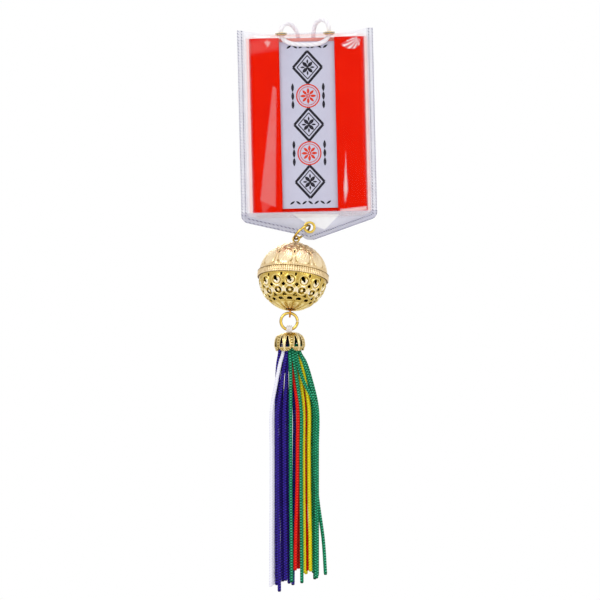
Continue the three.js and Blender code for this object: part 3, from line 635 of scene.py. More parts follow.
CORD_RIGHT_ROUTE = [
    (10.3, -1.6, 0.3), (10.3, -1.55, 1.9), (9.9, -1.2, 3.7), (8.8, -0.2, 5.4), (7.1, 1.4, 6.0),
    (5.4, 3.0, 5.3), (4.2, 4.1, 3.3), (3.7, 4.55, 0.6), (3.5, 4.5, -4), (3.6, 4.1, -13),
    (3.7, 3.8, -24), (3.3, 4.0, -34), (2.3, 4.8, -40.5), (1.9, 5.0, -43.1),
]
KNOT_CENTRE = np.array([0.8, 5.0, -46])
KNOT_RADIUS = 2.3
KNOT_HEIGHT = 2.7
KNOT_TURNS = 2.75
KNOT_TAPER = 0.25
TAIL_LENGTH = 9
TAIL_SPREAD = 2.2
TAIL_MIDDLE_SHARE = 0.7
TAIL_ROOT_SHARE = 0.33


def laid_tube(name, path, nodes, diameter, plies, lay, relief, sides, finish, body):
    """A cord of plies that turn once round it in as many lays as there are plies."""
    height = wave(plies * np.arange(sides) / sides - lengths_along(path)[:, None] / lay)
    return tube_piece(name, path, diameter / 2 + relief * (height - 0.7), finish, body, nodes, height)


def make_knot():
    """An overhand knot: turns of cord wrapped into a barrel, with two tails below it."""
    share = np.linspace(0, 1, 240)
    angle = share * KNOT_TURNS * TURN
    level = (KNOT_RADIUS - CORD_DIAMETER / 2) * (1 - KNOT_TAPER * (2 * share - 1) ** 2)
    rise = KNOT_HEIGHT - CORD_DIAMETER / 2
    path = KNOT_CENTRE + about_z(level, angle, rise * (1 - 2 * share))
    pieces = [laid_tube("cord_knot_wrap", path, ["cord_knot"], **CORD)]
    kx, ky, kz = KNOT_CENTRE
    end = kz - KNOT_HEIGHT - TAIL_LENGTH
    start = kz - KNOT_HEIGHT / 2
    for side, word in ((-1, "left"), (1, "right")):
        route = [
            (kx + side * KNOT_RADIUS * TAIL_ROOT_SHARE, ky, start),
            (kx + side * TAIL_SPREAD * TAIL_MIDDLE_SHARE, ky, (start + end) / 2),
            (kx + side * TAIL_SPREAD, ky - KNOT_RADIUS * TAIL_ROOT_SHARE, end),
        ]
        pieces.append(laid_tube("cord_tail_" + word, curve_through(route, CORD_STEP), [], **CORD))
    return pieces


def make_cords():
    laid_tube("cord_under_roof", curve_through(CORD_FRONT_ROUTE, CORD_STEP), ["cord_front"], **CORD)
    knot_pieces = make_knot()
    for word, route, with_pieces in (("left", CORD_LEFT_ROUTE, knot_pieces), ("right", CORD_RIGHT_ROUTE, [])):
        path = curve_through(route, CORD_STEP)
        piece = laid_tube("hanging_cord_" + word, path, ["cord_" + word], **CORD)


make_cords()

# Rings, eyelets and the ball's place, worked out as the frame has them

RING_SEGMENTS = 128
WIRE_SIDES = 20
TIP_EYELET = np.array([0, 0, -83.2])
TOP_EYE = np.array([-5.9, 0, -88.1])
UPPER_RING_RADIUS = 4.2
UPPER_RING_WIRE = 1.0
UPPER_RING_TILT = 17 * degree
LOWER_RING_RADIUS = 3.55
LOWER_RING_WIRE = 1.24
LOWER_RING_SLIP = 8 * degree
RING_SLIT = 0.2
BALL_RADIUS = 14.7
BALL_WALL = 0.7
BALL_ROLL = 6 * degree
BALL_PITCH = 14 * degree
TOP_EYE_HOLE = 0.95
TOP_EYE_WIRE = 0.75
BOTTOM_EYE_STAND = 1.5
BOTTOM_EYE_HOLE = 1.2
BOTTOM_EYE_WIRE = 0.8
EYE_CLEARANCE = 0.3
ball_turn = np.array(Matrix.Rotation(BALL_ROLL, 3, "Y") @ Matrix.Rotation(-BALL_PITCH, 3, "X"))
ball_up = ball_turn @ (0, 0, 1)
top_eye_reach = BALL_RADIUS + EYE_CLEARANCE + TOP_EYE_HOLE + TOP_EYE_WIRE
bottom_eye_reach = BALL_RADIUS + BOTTOM_EYE_STAND
ball_centre = TOP_EYE - ball_up * top_eye_reach
bottom_eye = ball_centre - ball_up * bottom_eye_reach
ring_slip = np.array([-math.sin(LOWER_RING_SLIP), 0, -math.cos(LOWER_RING_SLIP)])
lower_ring_centre = bottom_eye + ring_slip * LOWER_RING_RADIUS
EYELET_OUTER = 2.6
EYELET_WALL = 0.3
EYELET_FLANGE = 0.3
EYELET_LIP = 0.15
EYELET_SEGMENTS = 64
CLOSE_GAP = 0.12
SHEET_THICKNESS = 0.4
TOP_EYELET_SPAN = 20.6
TOP_EYELET_Y = -1.6
TOP_EYELET_BORE = 1.4
TIP_EYELET_BORE = 1.55


def ring_line(centre, radius, turns, first, second):
    return centre + radius * (np.outer(np.cos(turns), first) + np.outer(np.sin(turns), second))


def split_ring(body, centre, across, radius, wire, start):
    """A ring of round wire in the plane of its two across directions, cut where start points."""
    opening = RING_SLIT / radius / 2
    turns = np.linspace(start + opening, start + TURN - opening, RING_SEGMENTS)
    path = ring_line(centre, radius, turns, *across)
    radii = np.full((RING_SEGMENTS, WIRE_SIDES), wire / 2)
    radii[[0, -1]] *= 0.9
    # Painted highlight where the wire faces front or back, and painted shade along its edges
    facing = np.abs(sweep(path, radii)[..., 1] - path[:, None, 1]) / (wire / 2)
    height = 0.12 + 0.5 * smooth((facing - 0.5) / 0.4)
    tube_piece(body + "_wire", path, radii, gold, body, [body], height)


def make_rings():
    span = TOP_EYE - TIP_EYELET
    lift = math.sqrt(UPPER_RING_RADIUS**2 - (np.linalg.norm(span) / 2) ** 2)
    along = span / np.linalg.norm(span)
    normal = np.cross(along, (0, 1, 0))
    back = np.array([0, math.cos(UPPER_RING_TILT), 0]) + normal * math.sin(UPPER_RING_TILT)
    centre = (TIP_EYELET + TOP_EYE) / 2 - back * lift
    split_ring("upper_ring", centre, (along, back), UPPER_RING_RADIUS, UPPER_RING_WIRE, QUARTER)
    split_ring("lower_ring", lower_ring_centre, ((1, 0, 0), (0, 0, 1)), LOWER_RING_RADIUS, LOWER_RING_WIRE, 0)


def make_eyelet(word, place, bore, half, turn):
    """A rolled eyelet through a sheet, and the washer behind it. half is half of what it grips."""
    tube_outer = bore + EYELET_WALL
    lip = -half - EYELET_FLANGE - CLOSE_GAP
    roll = EYELET_FLANGE / 2
    middle = half + roll
    flange = [
        [bore, lip - EYELET_LIP],
        [tube_outer + EYELET_LIP, lip - EYELET_LIP],
        [tube_outer + EYELET_LIP, lip],
        [tube_outer, lip],
        [tube_outer, half],
        *arc(EYELET_OUTER - roll, middle, roll, -QUARTER, QUARTER, 6),
        *arc(bore + roll, middle, roll, QUARTER, TURN / 2, 4),
    ]
    # Painted shade at the flange's foot and in the bore, and a painted highlight on the rolled lip
    height = [0.1, 0.1, 0.1, 0.1, 0.2, *np.linspace(0.35, 0.65, 7), *np.linspace(0.55, 0.1, 5)]
    inside = tube_outer + CLOSE_GAP
    washer = [
        [inside, -half - EYELET_FLANGE],
        [EYELET_OUTER - roll / 2, -half - EYELET_FLANGE],
        [EYELET_OUTER, -half - roll],
        [EYELET_OUTER - roll / 2, -half],
        [inside, -half],
    ]
    washer_word = word.replace("eyelet", "washer")
    for name, profile, node, heights in (
        (word + "_flange", flange, word, height),
        (washer_word + "_plate", washer, washer_word, 0.5),
    ):
        turned_piece(name, profile, EYELET_SEGMENTS, place, gold, "root", [node], turn, heights)


def make_eyelets():
    for side, word in ((-1, "left"), (1, "right")):
        place = np.array([side * TOP_EYELET_SPAN / 2, TOP_EYELET_Y, 0])
        make_eyelet("top_eyelet_" + word, place, TOP_EYELET_BORE, SHEET_THICKNESS / 2, np.identity(3))
    make_eyelet("tip_eyelet", TIP_EYELET, TIP_EYELET_BORE, SHEET_THICKNESS, Matrix.Rotation(QUARTER, 3, "X"))


make_rings()
make_eyelets()

# Packet: a card in cloth, a satin strip and a wrapper whose flaps fold over its sides

PACKET_WIDTH = 49.7
PACKET_SHIFT = 0.55
PACKET_TOP = -1.7
PACKET_HEIGHT = 74.9
PACKET_LEFT = PACKET_SHIFT - PACKET_WIDTH / 2
PACKET_RIGHT = PACKET_SHIFT + PACKET_WIDTH / 2
PACKET_BOTTOM = PACKET_TOP - PACKET_HEIGHT
WRAPPER_THICKNESS = 0.4
WRAPPER_BACK_Y = 1.25
FLAP_FRONT_Y = -2.55
FLAP_UNDER_Y = -1.65
FLAP_WIDTH = 13
FLAP_TUCK = 5
FLAP_CROWN = 0.22
CARD_THICKNESS = 1.6
CARD_INSET = 2.1
CARD_SHORT = 0.2
CARD_EDGE = 0.15
CARD_TINT_TOP = 4
STRIP_THICKNESS = 0.3
STRIP_TOP_INSET = 1.7
STRIP_BOTTOM_INSET = 1.6
STRIP_SIDE_INSET = 3.8
STRIP_CROWN = 0.55
STRIP_CROWN_HALF = 10.2
STRIP_CROWN_RISE = 7
CLOTH_STEP = 0.6


def wrapper_line():
    """The wrapper's middle line in plan, from one tucked edge round the back to the other, and its length."""
    side_radius = (WRAPPER_BACK_Y - FLAP_FRONT_Y) / 2
    side_y = (WRAPPER_BACK_Y + FLAP_FRONT_Y) / 2
    bend = side_radius + WRAPPER_THICKNESS / 2
    nose_radius = (FLAP_UNDER_Y - FLAP_FRONT_Y) / 2
    nose_reach = nose_radius + WRAPPER_THICKNESS / 2
    nose_y = (FLAP_UNDER_Y + FLAP_FRONT_Y) / 2
    nose_left = PACKET_LEFT + FLAP_WIDTH - nose_reach
    nose_right = PACKET_RIGHT - FLAP_WIDTH + nose_reach
    line = np.array([
        [nose_left - FLAP_TUCK, FLAP_UNDER_Y],
        *arc(nose_left, nose_y, nose_radius, QUARTER, -QUARTER, 8),
        *arc(PACKET_LEFT + bend, side_y, side_radius, -QUARTER, -3 * QUARTER, 12),
        *arc(PACKET_RIGHT - bend, side_y, side_radius, QUARTER, -QUARTER, 12),
        *arc(nose_right, nose_y, nose_radius, -QUARTER, -3 * QUARTER, 8),
        [nose_right + FLAP_TUCK, FLAP_UNDER_Y],
    ])
    along = lengths_along(line)
    even = np.unique(np.concatenate([along, np.arange(0, along[-1], CLOTH_STEP * 2)]))
    return evened(line, even), along[-1]


def make_wrapper():
    line, width = wrapper_line()
    along = np.gradient(line, axis=0)
    along /= np.linalg.norm(along, axis=1, keepdims=True)
    z = np.linspace(PACKET_BOTTOM, PACKET_TOP, int(PACKET_HEIGHT / CLOTH_STEP) + 1)[:, None]
    x, y = line.T
    flap_share = np.minimum(x - PACKET_LEFT, PACKET_RIGHT - x) / FLAP_WIDTH
    on_front = smooth((-y - 2.2) / 0.3)
    crown = FLAP_CROWN * on_front * np.sin(math.pi * np.clip(flap_share, 0, 1)) ** 2
    settle = smooth(np.minimum(z - PACKET_BOTTOM, PACKET_TOP - z) / 4)
    ripple = 0.5 + 0.5 * np.sin(z / 7.3 + x / 5.1)
    puff = crown * (0.35 + 0.65 * settle) * (0.6 + 0.4 * ripple)
    middle = joined(x, y - puff, z)
    offset = joined(-along[:, 1], along[:, 0], 0) * WRAPPER_THICKNESS / 2
    points, faces = thick_sheet(middle + offset, middle - offset)
    piece = make_piece("packet_flaps", points, faces, red_cloth, "root", ["packet_wrapper"], sharp=50 * degree)


def make_card():
    """The card's cloth cover, pale above and red at its foot."""
    half_width = PACKET_WIDTH / 2 - CARD_INSET
    half = PACKET_HEIGHT / 2 - CARD_SHORT
    roll = CARD_THICKNESS / 2
    rim = np.array([
        *arc(half_width - roll, 0, roll, -QUARTER, QUARTER, 8),
        *arc(roll - half_width, 0, roll, QUARTER, 3 * QUARTER, 8),
    ])
    levels = np.array([-half, CARD_EDGE - half, CARD_TINT_TOP - half, half - CARD_EDGE, half])
    inset = np.array([CARD_EDGE, 0, 0, 0, CARD_EDGE])
    x, y = np.moveaxis(rim * (1 - inset[:, None] / (half_width, roll))[:, None], -1, 0)
    points = joined(x + PACKET_SHIFT, y, levels[:, None] + (PACKET_TOP + PACKET_BOTTOM) / 2)
    faces = capped(len(levels), len(rim))
    piece = make_piece("card_cover", points, faces, inner_cloth, "root", ["card_core"], sharp=40 * degree)
    piece.data.materials.append(red_cloth[0])
    for polygon in piece.data.polygons:
        polygon.material_index = int(polygon.center.z < (PACKET_BOTTOM + CARD_TINT_TOP) * MM)


def strip_front_y(x):
    """The satin's front: flat under the flaps and crowned between them."""
    base = FLAP_UNDER_Y + WRAPPER_THICKNESS / 2 + CLOSE_GAP
    return base - STRIP_CROWN * smooth((STRIP_CROWN_HALF - np.abs(x - PACKET_SHIFT)) / STRIP_CROWN_RISE)


def make_strip():
    width = PACKET_WIDTH - STRIP_SIDE_INSET * 2
    top = PACKET_TOP - STRIP_TOP_INSET
    bottom = PACKET_BOTTOM + STRIP_BOTTOM_INSET
    x = np.linspace(-width / 2, width / 2, int(width / CLOTH_STEP) + 1) + PACKET_SHIFT
    z = np.linspace(bottom, top, int((top - bottom) / CLOTH_STEP) + 1)[:, None]
    front = joined(x, strip_front_y(x), z)
    points, faces = thick_sheet(front, front + (0, STRIP_THICKNESS, 0))
    piece = make_piece("satin_strip", points, faces, white_satin, "root", ["front_strip"], sharp=50 * degree)


# The strip's pattern: a traditional column of flower lozenges and roundels in raised thread

STITCH_HEIGHT = 0.14
STITCH_SUNK = 0.03
STITCH_ACROSS = np.array([0, 0.18, 0.5, 0.82, 1])
STITCH_RISE = np.array([0, 0.8, 1, 0.8, 0])
LOZENGE_Z = (-14.5, -39.1, -63.7)
LOZENGE_HALF = (6.2, 7.0)
LOZENGE_FRAMES = ((1, 1.15), (0.72, 0.45))
ROUNDEL_Z = (-26.8, -51.4)
ROUNDEL_RADIUS = 4.9
PATTERN_X = 0.7
SIDE_LEAF_X = 6.6
SIDE_LEAF_RISE = 3.7
END_LEAF_Z = (-5.6, -72.6)
END_LEAF_PITCH = 2.6


def stitched(middle, side):
    """A raised band of thread that reaches a side's width each way from its middle line, domed across."""
    low, high = (middle - side)[:, None], (middle + side)[:, None]
    across = STITCH_ACROSS[:, None]
    x, z = np.moveaxis(low * (1 - across) + high * across, -1, 0)
    return joined(x, strip_front_y(x) + STITCH_SUNK - (STITCH_HEIGHT + STITCH_SUNK) * STITCH_RISE, z)


def leaf(x, z, angle, length, width):
    """A pointed petal about x and z whose long side runs at the angle from +x."""
    share = np.linspace(0, 1, 15)[:, None]
    half = width / 2 * np.sin(math.pi * share) ** 0.8 + 0.02
    along = np.array([math.cos(angle), math.sin(angle)])
    return stitched((x, z) + (share - 0.5) * length * along, half * (-along[1], along[0]))


def bar(start, end, width):
    start, end = np.array(start), np.array(end)
    along = (end - start) / np.linalg.norm(end - start)
    side = np.array([-along[1], along[0]]) * width / 2
    return stitched(start + (end - start) * np.linspace(0, 1, 13)[:, None], side)


def hoop(z, radius, width, steps=64):
    turns = np.linspace(0, TURN, steps + 1)
    ray = np.stack([np.cos(turns), np.sin(turns)], 1)
    return stitched((PATTERN_X, z) + ray * radius, ray * width / 2)


def petals(z, count, start, reach_x, reach_z, length, width):
    """Petals about the middle of a flower at the height z."""
    bands = []
    for i in range(count):
        angle = (i + start) * TURN / count
        x = PATTERN_X + reach_x * math.cos(angle)
        bands.append(leaf(x, z + reach_z * math.sin(angle), angle, length, width))
    return bands


def lozenge(z):
    """A double diamond frame round a four-petalled flower."""
    half_x, half_z = LOZENGE_HALF
    bands = []
    for share, width in LOZENGE_FRAMES:
        corners = [(half_x * share, 0), (0, half_z * share), (-half_x * share, 0), (0, -half_z * share)]
        corners = [(PATTERN_X + x, z + up) for x, up in corners]
        bands += [bar(a, b, width) for a, b in zip(corners, corners[1:] + corners[:1])]
    large = petals(z, 4, 0.5, 1.5, 1.7, 3.0, 1.6)
    small = petals(z, 4, 0, 2.1, 2.5, 1.9, 0.8)
    for pair in zip(large, small):
        bands += pair
    return [*bands, leaf(PATTERN_X, z, 0, 1.0, 0.9)]


def roundel(z):
    """A ring round an eight-petalled flower."""
    rings = [hoop(z, ROUNDEL_RADIUS, 0.6), hoop(z, ROUNDEL_RADIUS - 0.95, 0.3), hoop(z, 0.55, 0.5, 24)]
    return rings + petals(z, 8, 0, 2.1, 2.1, 2.6, 1.2)


def make_pattern(name, bands, finish):
    points, faces = merged(bands)
    height = [np.repeat(0.35 + 0.5 * wave(np.arange(len(band)) / 2), band.shape[1]) for band in bands]
    make_piece(name, points, faces, finish, "root", values={"height": np.concatenate(height)})


def make_patterns():
    black = [band for z in LOZENGE_Z for band in lozenge(z)]
    for z in ROUNDEL_Z:
        for x in (PATTERN_X - SIDE_LEAF_X, PATTERN_X + SIDE_LEAF_X):
            black += [leaf(x, z + up, QUARTER, 3.6, 1.3) for up in (-SIDE_LEAF_RISE, 0, SIDE_LEAF_RISE)]
    for z in END_LEAF_Z:
        for i in range(-3, 4):
            black.append(leaf(PATTERN_X + i * END_LEAF_PITCH, z, 0.6 if i % 2 else -0.6, 2.4, 0.9))
    make_pattern("woven_lozenges", black, black_thread)
    make_pattern("woven_roundels", [band for z in ROUNDEL_Z for band in roundel(z)], red_thread)


make_wrapper()
make_card()
make_strip()
make_patterns()

# Clear sleeve. side is -1 for its front sheet, or its left half, and 1 for its back sheet, or its right half.

SLEEVE_HALF = 29.25
SLEEVE_EAR_TOP = 2.1
SLEEVE_TIP_Z = -88.6
SLEEVE_CORNER_RADIUS = 3.5
WELD_RISE = 3.8
SLANT_RISE = 1.2
# How far each sheet stands off the weld plane, over the packet and at the mouth
DEPTHS = {-1: (3.3, 4.9), 1: (2.1, 2.7)}
MOUTH_BLEND = 6
MOUTH_HALF_WIDTH = 13
MOUTH_FLARE = 8
EAR_START = 15
TIP_RADIUS = 4.1
TIP_ROWS = 24
FLOOR_RISE = 2
GAP = 0.3
# How far below the packet each slanted edge meets the side and the middle
SLANTS = {-1: (3.6, 10.85), 1: (2.94, 12.68)}
SLEEVE_STEP = 0.45
RIPPLE = 0.22
ROOF_BOW = 0.12


def slant_of(side):
    """The slope of a slanted edge, and the height where it meets the middle."""
    corner_drop, apex_drop = SLANTS[side]
    return (apex_drop - corner_drop) / SLEEVE_HALF, PACKET_BOTTOM - apex_drop


def reach_at(z, side):
    """How far the outline reaches from the middle at height z."""
    slope, apex = slant_of(side)
    lean = math.atan(slope)
    corner = apex + slope * SLEEVE_HALF
    arc_z = corner + SLEEVE_CORNER_RADIUS * math.tan((QUARTER - lean) / 2)
    arc_end = arc_z - SLEEVE_CORNER_RADIUS * math.cos(lean)
    tip_drop = SLEEVE_TIP_Z + TIP_RADIUS - z
    tip = np.sqrt(np.maximum(TIP_RADIUS**2 - tip_drop**2, 0))
    rounded = np.sqrt(np.maximum(SLEEVE_CORNER_RADIUS**2 - (z - arc_z) ** 2, 0))
    rounded = SLEEVE_HALF - SLEEVE_CORNER_RADIUS + rounded
    straight = np.maximum((z - apex) / slope, tip)
    return np.where(z >= arc_z, SLEEVE_HALF, np.where(z >= arc_end, rounded, straight))


def slant_distance(x, z):
    """How far each point is above the slanted edge on its side."""
    distances = []
    for side in (-1, 1):
        slope, apex = slant_of(side)
        distances.append((z - apex - slope * np.abs(x)) * math.cos(math.atan(slope)))
    return np.where(x < 0, *distances)


def rounding(share):
    return np.sqrt(1 - (1 - np.clip(share, 0, 1)) ** 2)


def stand_off(x, z, side):
    """How far a sheet stands off the weld plane."""
    depth, mouth_depth = DEPTHS[side]
    beside = rounding((SLEEVE_HALF - np.abs(x) - WELD_WIDTH) / WELD_RISE)
    below = rounding((slant_distance(x, z) - WELD_WIDTH) / SLANT_RISE)
    floor = np.clip((z - PACKET_BOTTOM + GAP + FLOOR_RISE) / FLOOR_RISE, 0, 1)
    middle = 1 - smooth((np.abs(x) - MOUTH_HALF_WIDTH) / MOUTH_BLEND)
    flare = smooth((z - PACKET_TOP + MOUTH_FLARE) / MOUTH_FLARE) * middle
    closing = np.where(z > PACKET_TOP + GAP + CLOSE_GAP, middle, 1)
    return (depth + (mouth_depth - depth) * flare) * beside * below * floor * closing


# Painted shines on the sleeve, as convex outlines in the photograph's pixels, with each one's strength and soft rim
PAINTED_SHINES = [
    ([(273.5, 88), (261.4, 200), (274.8, 206), (275.6, 90)], 0.085, 0.7),
    ([(261.4, 200.6), (271.4, 205.2), (264.6, 212), (263.4, 212)], 0.03, 0.5),
    ([(345.6, 170), (344.5, 189), (345.3, 198), (346.9, 190)], 0.4, 0.6),
    ([(249, 46), (278, 39), (278, 47), (249, 52)], 0.03, 2.6),
    ([(266, 43.5), (267.6, 42.3), (269.2, 43.5), (267.8, 46)], 0.25, 0.8),
    ([(341, 210.2), (366, 207.2), (366, 209.4), (342, 212.6)], 0.4, 0.5),
]
SHINE_PINK = 0.4
# A painted pale facet on the sheet below the packet's foot
TIP_FACET = [(286, 214.5), (338, 215), (322, 232), (306, 222)]
TIP_FACET_HAZE = 0.2
TIP_FACET_SOFT = 0.8
FAN_CENTRE = (360, 36.5)
FAN_START = 3
FAN_ANGLES = (14, 21, 38, 57, 70, 82, 92)
FAN_REACH = (0, 21.5, 19, 15.6, 13, 9.4, 0)
FAN_STRIPES = 4.1
FAN_BEND = 20
FAN_HAZE = 0.8
FAN_PINK = 0.35
# Haze off the packet, more of it under the packet, in the weld, and with the painted red glow beside and above it
OFF_HAZE = 0.14
UNDER_HAZE = 0.22
WELD_HAZE = 0.03
BESIDE_HAZE = 0.34
ABOVE_HAZE = 0.12
MOST_HAZE = 0.95
PINK_BAND = 0.5
PINK_RISE = 0.6


def inside(outline, x, z, soft):
    """1 inside a convex outline given in pixels, falling to 0 over the soft width outside it."""
    corners = np.array([from_photo(*corner) for corner in outline])
    centre = corners.mean(0)
    depth = np.full(x.shape, 1e9)
    for start, end in zip(corners, np.roll(corners, -1, 0)):
        along = (end - start) / np.linalg.norm(end - start)
        normal = np.array([-along[1], along[0]])
        if normal @ (centre - start) < 0:
            normal = -normal
        depth = np.minimum(depth, (x - start[0]) * normal[0] + (z - start[1]) * normal[1])
    return smooth(1 + depth / soft)


def painted_fan_reflection(x, z):
    """Painted reflection: curved pale stripes that spread from a point, as off a creased corner of the sheet."""
    cx, cz = from_photo(*FAN_CENTRE)
    distance = np.hypot(x - cx, z - cz) / PIXEL
    angle = np.arctan2(cz - z, cx - x) / degree
    reach = np.interp(angle, FAN_ANGLES, FAN_REACH, 0, 0)
    share = (angle - FAN_ANGLES[1]) / (FAN_ANGLES[-2] - FAN_ANGLES[1])
    stripe = wave(share * FAN_STRIPES + 0.45 * (distance / FAN_BEND) ** 2)
    body = smooth((distance - FAN_START) / 2) * smooth((reach - distance) / 1.2)
    return body * (0.1 + 0.9 * smooth((stripe - 0.42) * 2.6))


def facing(x, z, side):
    """How squarely a sheet faces the front, from 1 where it is flat down to 0 where it is steep."""
    small = 0.05
    across = stand_off(x + small, z, side) - stand_off(x - small, z, side)
    upward = stand_off(x, z + small, side) - stand_off(x, z - small, side)
    return 1 / np.sqrt(1 + (across**2 + upward**2) / (2 * small) ** 2)


def sleeve_values(x, z, side):
    """Haze with painted shines, edge distance, painted light and shade of facets, and a painted red glow for each point
    of a sheet.
    """
    edge = np.minimum(SLEEVE_HALF - np.abs(x), slant_distance(x, z))
    under_packet = smooth((PACKET_BOTTOM + 0.15 - z) / 0.35)
    aside = np.abs(x - PACKET_SHIFT) - PACKET_WIDTH / 2
    beside = smooth((aside + 0.45) / 0.4)
    above = smooth((z - PACKET_TOP + 0.1) / 0.35)
    off_packet = np.maximum.reduce([under_packet, beside, above])
    on_packet = 1 - off_packet
    flat = facing(x, z, side) ** 0.4
    haze = OFF_HAZE * off_packet * flat + UNDER_HAZE * under_packet * flat
    haze += WELD_HAZE * smooth((WELD_WIDTH - edge) / 0.5)
    angle = np.arctan2(x - TIP_EYELET[0], z - TIP_EYELET[2])
    # Painted light and shade of creases that radiate from the tip, darker below the packet and lighter above it
    painted_crease_light = 0.5 + 0.5 * np.sin(angle * 7 + 1.4) * np.sin(angle * 3 + 0.4)
    painted_facet_light = 0.45 + under_packet * (0.2 * painted_crease_light - 0.32) + 0.2 * above
    red_glow = np.zeros(x.shape)
    if side < 0:
        # A painted red glow of the packet in the sheet beside and above it, and a little in the painted shines over it
        red_glow = bell(aside - PINK_BAND, 0.7) * (1 - under_packet) * (1 - above)
        over = bell(z - PACKET_TOP - PINK_RISE, 0.6) * (1 - beside)
        haze += BESIDE_HAZE * red_glow * flat + ABOVE_HAZE * over
        stripes = painted_fan_reflection(x, z) * on_packet
        red_glow = np.maximum.reduce([red_glow, over, FAN_PINK * (stripes > 0)])
        patches = [(inside(shape, x, z, soft) * on_packet, strength, SHINE_PINK) for shape, strength, soft in PAINTED_SHINES]
        patches.append((stripes, FAN_HAZE, 0))
        patches.append((inside(TIP_FACET, x, z, TIP_FACET_SOFT) * under_packet, TIP_FACET_HAZE, 0))
        for patch, strength, pinkness in patches:
            haze += strength * patch
            painted_facet_light = np.maximum(painted_facet_light, patch)
            red_glow = np.maximum(red_glow, pinkness * patch)
    return {"haze": np.clip(haze, 0, MOST_HAZE), "edge": edge, "painted_facet_light": painted_facet_light, "red_glow": red_glow}


def make_sheet(word, side, middle_top):
    """One sheet of the sleeve, from its mouth in the middle and its ears at the sides down to the tip."""
    columns = int(2 * SLEEVE_HALF / SLEEVE_STEP) + 1
    rows = int((middle_top - SLEEVE_TIP_Z) / SLEEVE_STEP)
    tip_end = SLEEVE_TIP_Z + 0.002
    straight = np.linspace(middle_top, SLEEVE_TIP_Z + TIP_RADIUS / 2, rows)
    drop = np.sqrt(np.linspace(1, 0, TIP_ROWS)) ** 3
    z = np.concatenate([straight, tip_end + (straight[-1] - tip_end) * drop[1:]])[:, None]
    share = np.linspace(-1, 1, columns)
    x = share * np.where(share < 0, reach_at(z, -1), reach_at(z, 1))
    rise = smooth((np.abs(x) - EAR_START) / (SLEEVE_HALF - EAR_START))
    lift = smooth((z - PACKET_TOP - GAP) / (middle_top - PACKET_TOP - GAP))
    z = z + lift * (SLEEVE_EAR_TOP - middle_top) * rise
    off = stand_off(x, z, side)
    if side < 0:
        swell = 0.5 + 0.25 * np.sin(x / 4.3 + z / 11) + 0.25 * np.sin(z / 6.1 - x / 9)
        room = smooth(off / DEPTHS[side][0]) * smooth((PACKET_TOP - 8 - z) / 6)
        off = off + RIPPLE * swell * room
    values = {key: np.stack([numbers, numbers]) for key, numbers in sleeve_values(x, z, side).items()}
    points, faces = thick_sheet(joined(x, side * (off + SHEET_THICKNESS), z), joined(x, side * off, z))
    name = "sleeve_" + word
    return make_piece(name, points, faces, clear_vinyl, "root", [name + "_sheet"], values, 50 * degree)


def make_roof():
    """The flat strip between the two mouths, which carries the top eyelets."""
    back = DEPTHS[1][1] + SHEET_THICKNESS / 2
    front = -(DEPTHS[-1][1] + SHEET_THICKNESS + GAP)
    half_width = MOUTH_HALF_WIDTH - GAP
    x = np.linspace(-half_width, half_width, 60)
    y = np.linspace(front, back, 24)[:, None]
    bow = ROOF_BOW * np.cos(math.pi * x / half_width / 2)
    bow = bow * smooth((np.abs(np.abs(x) - TOP_EYELET_SPAN / 2) - EYELET_OUTER) / 2)
    top = joined(x, y, SHEET_THICKNESS / 2 - bow)
    points, faces = thick_sheet(top, top - (0, 0, SHEET_THICKNESS))
    shape = points.shape[:-1]
    # A fixed haze, a fixed tone of painted facet light, and no painted red glow
    values = {key: np.full(shape, value) for key, value in (("haze", 0.25), ("painted_facet_light", 0.6), ("red_glow", 0))}
    values["edge"] = np.broadcast_to(half_width - np.abs(x) + WELD_WIDTH, shape)
    return make_piece("sleeve_roof", points, faces, clear_vinyl, "root", values=values, sharp=50 * degree)


def drill(piece, place, bore, turn):
    """A round hole through a sheet for an eyelet with that bore."""
    bpy.ops.mesh.primitive_cylinder_add(vertices=48, radius=(bore + EYELET_WALL + GAP) * MM, depth=4 * MM)
    cut(piece, Matrix.Translation(metres(place)) @ turn.to_4x4())


def make_sleeve():
    front = make_sheet("front", -1, -SHEET_THICKNESS / 2 - GAP)
    back = make_sheet("back", 1, SHEET_THICKNESS / 2 + CLOSE_GAP)
    roof = make_roof()
    for sheet in (front, back):
        drill(sheet, TIP_EYELET, TIP_EYELET_BORE, Matrix.Rotation(QUARTER, 3, "X"))
    for side in (-1, 1):
        drill(roof, (side * TOP_EYELET_SPAN / 2, TOP_EYELET_Y, 0), TOP_EYELET_BORE, Matrix.Identity(3))


make_sleeve()

# Openwork ball. On its shells, across and up are measured along the surface from the middle of a column.

SHELL_STEP = 0.24
SHELL_RIM_REACH = 0.62
FLUTE_COUNT = 98
FLUTE_DEPTH = 0.12
# How often the two waves of each shell's grain repeat, along a turn and a latitude
LOWER_GRAIN = (61, 47, 23, 83)
UPPER_GRAIN = (57, 41, 29, 77)
COLUMN_COUNT = 14
COLUMN_START = -4.5 * degree
OVAL_LATITUDE = -9.5 * degree
ROUND_LATITUDE = -19.5 * degree
DIAMOND_LATITUDE = -27 * degree
PLATE_LATITUDE = -28.5 * degree
WEDGE_LATITUDE = -36.5 * degree
RING_LATITUDE = -37 * degree
TRIANGLE_LATITUDE = -45.5 * degree
DROP_LATITUDE = -54 * degree
RAY_LATITUDE = -58 * degree
PETAL_COUNT = 11
PETAL_START = 15.4 * degree
SPEAR_LATITUDE = 17 * degree
PETAL_LATITUDE = 24 * degree
LEAF_LATITUDE = 34 * degree
DOT_LATITUDE = 41 * degree
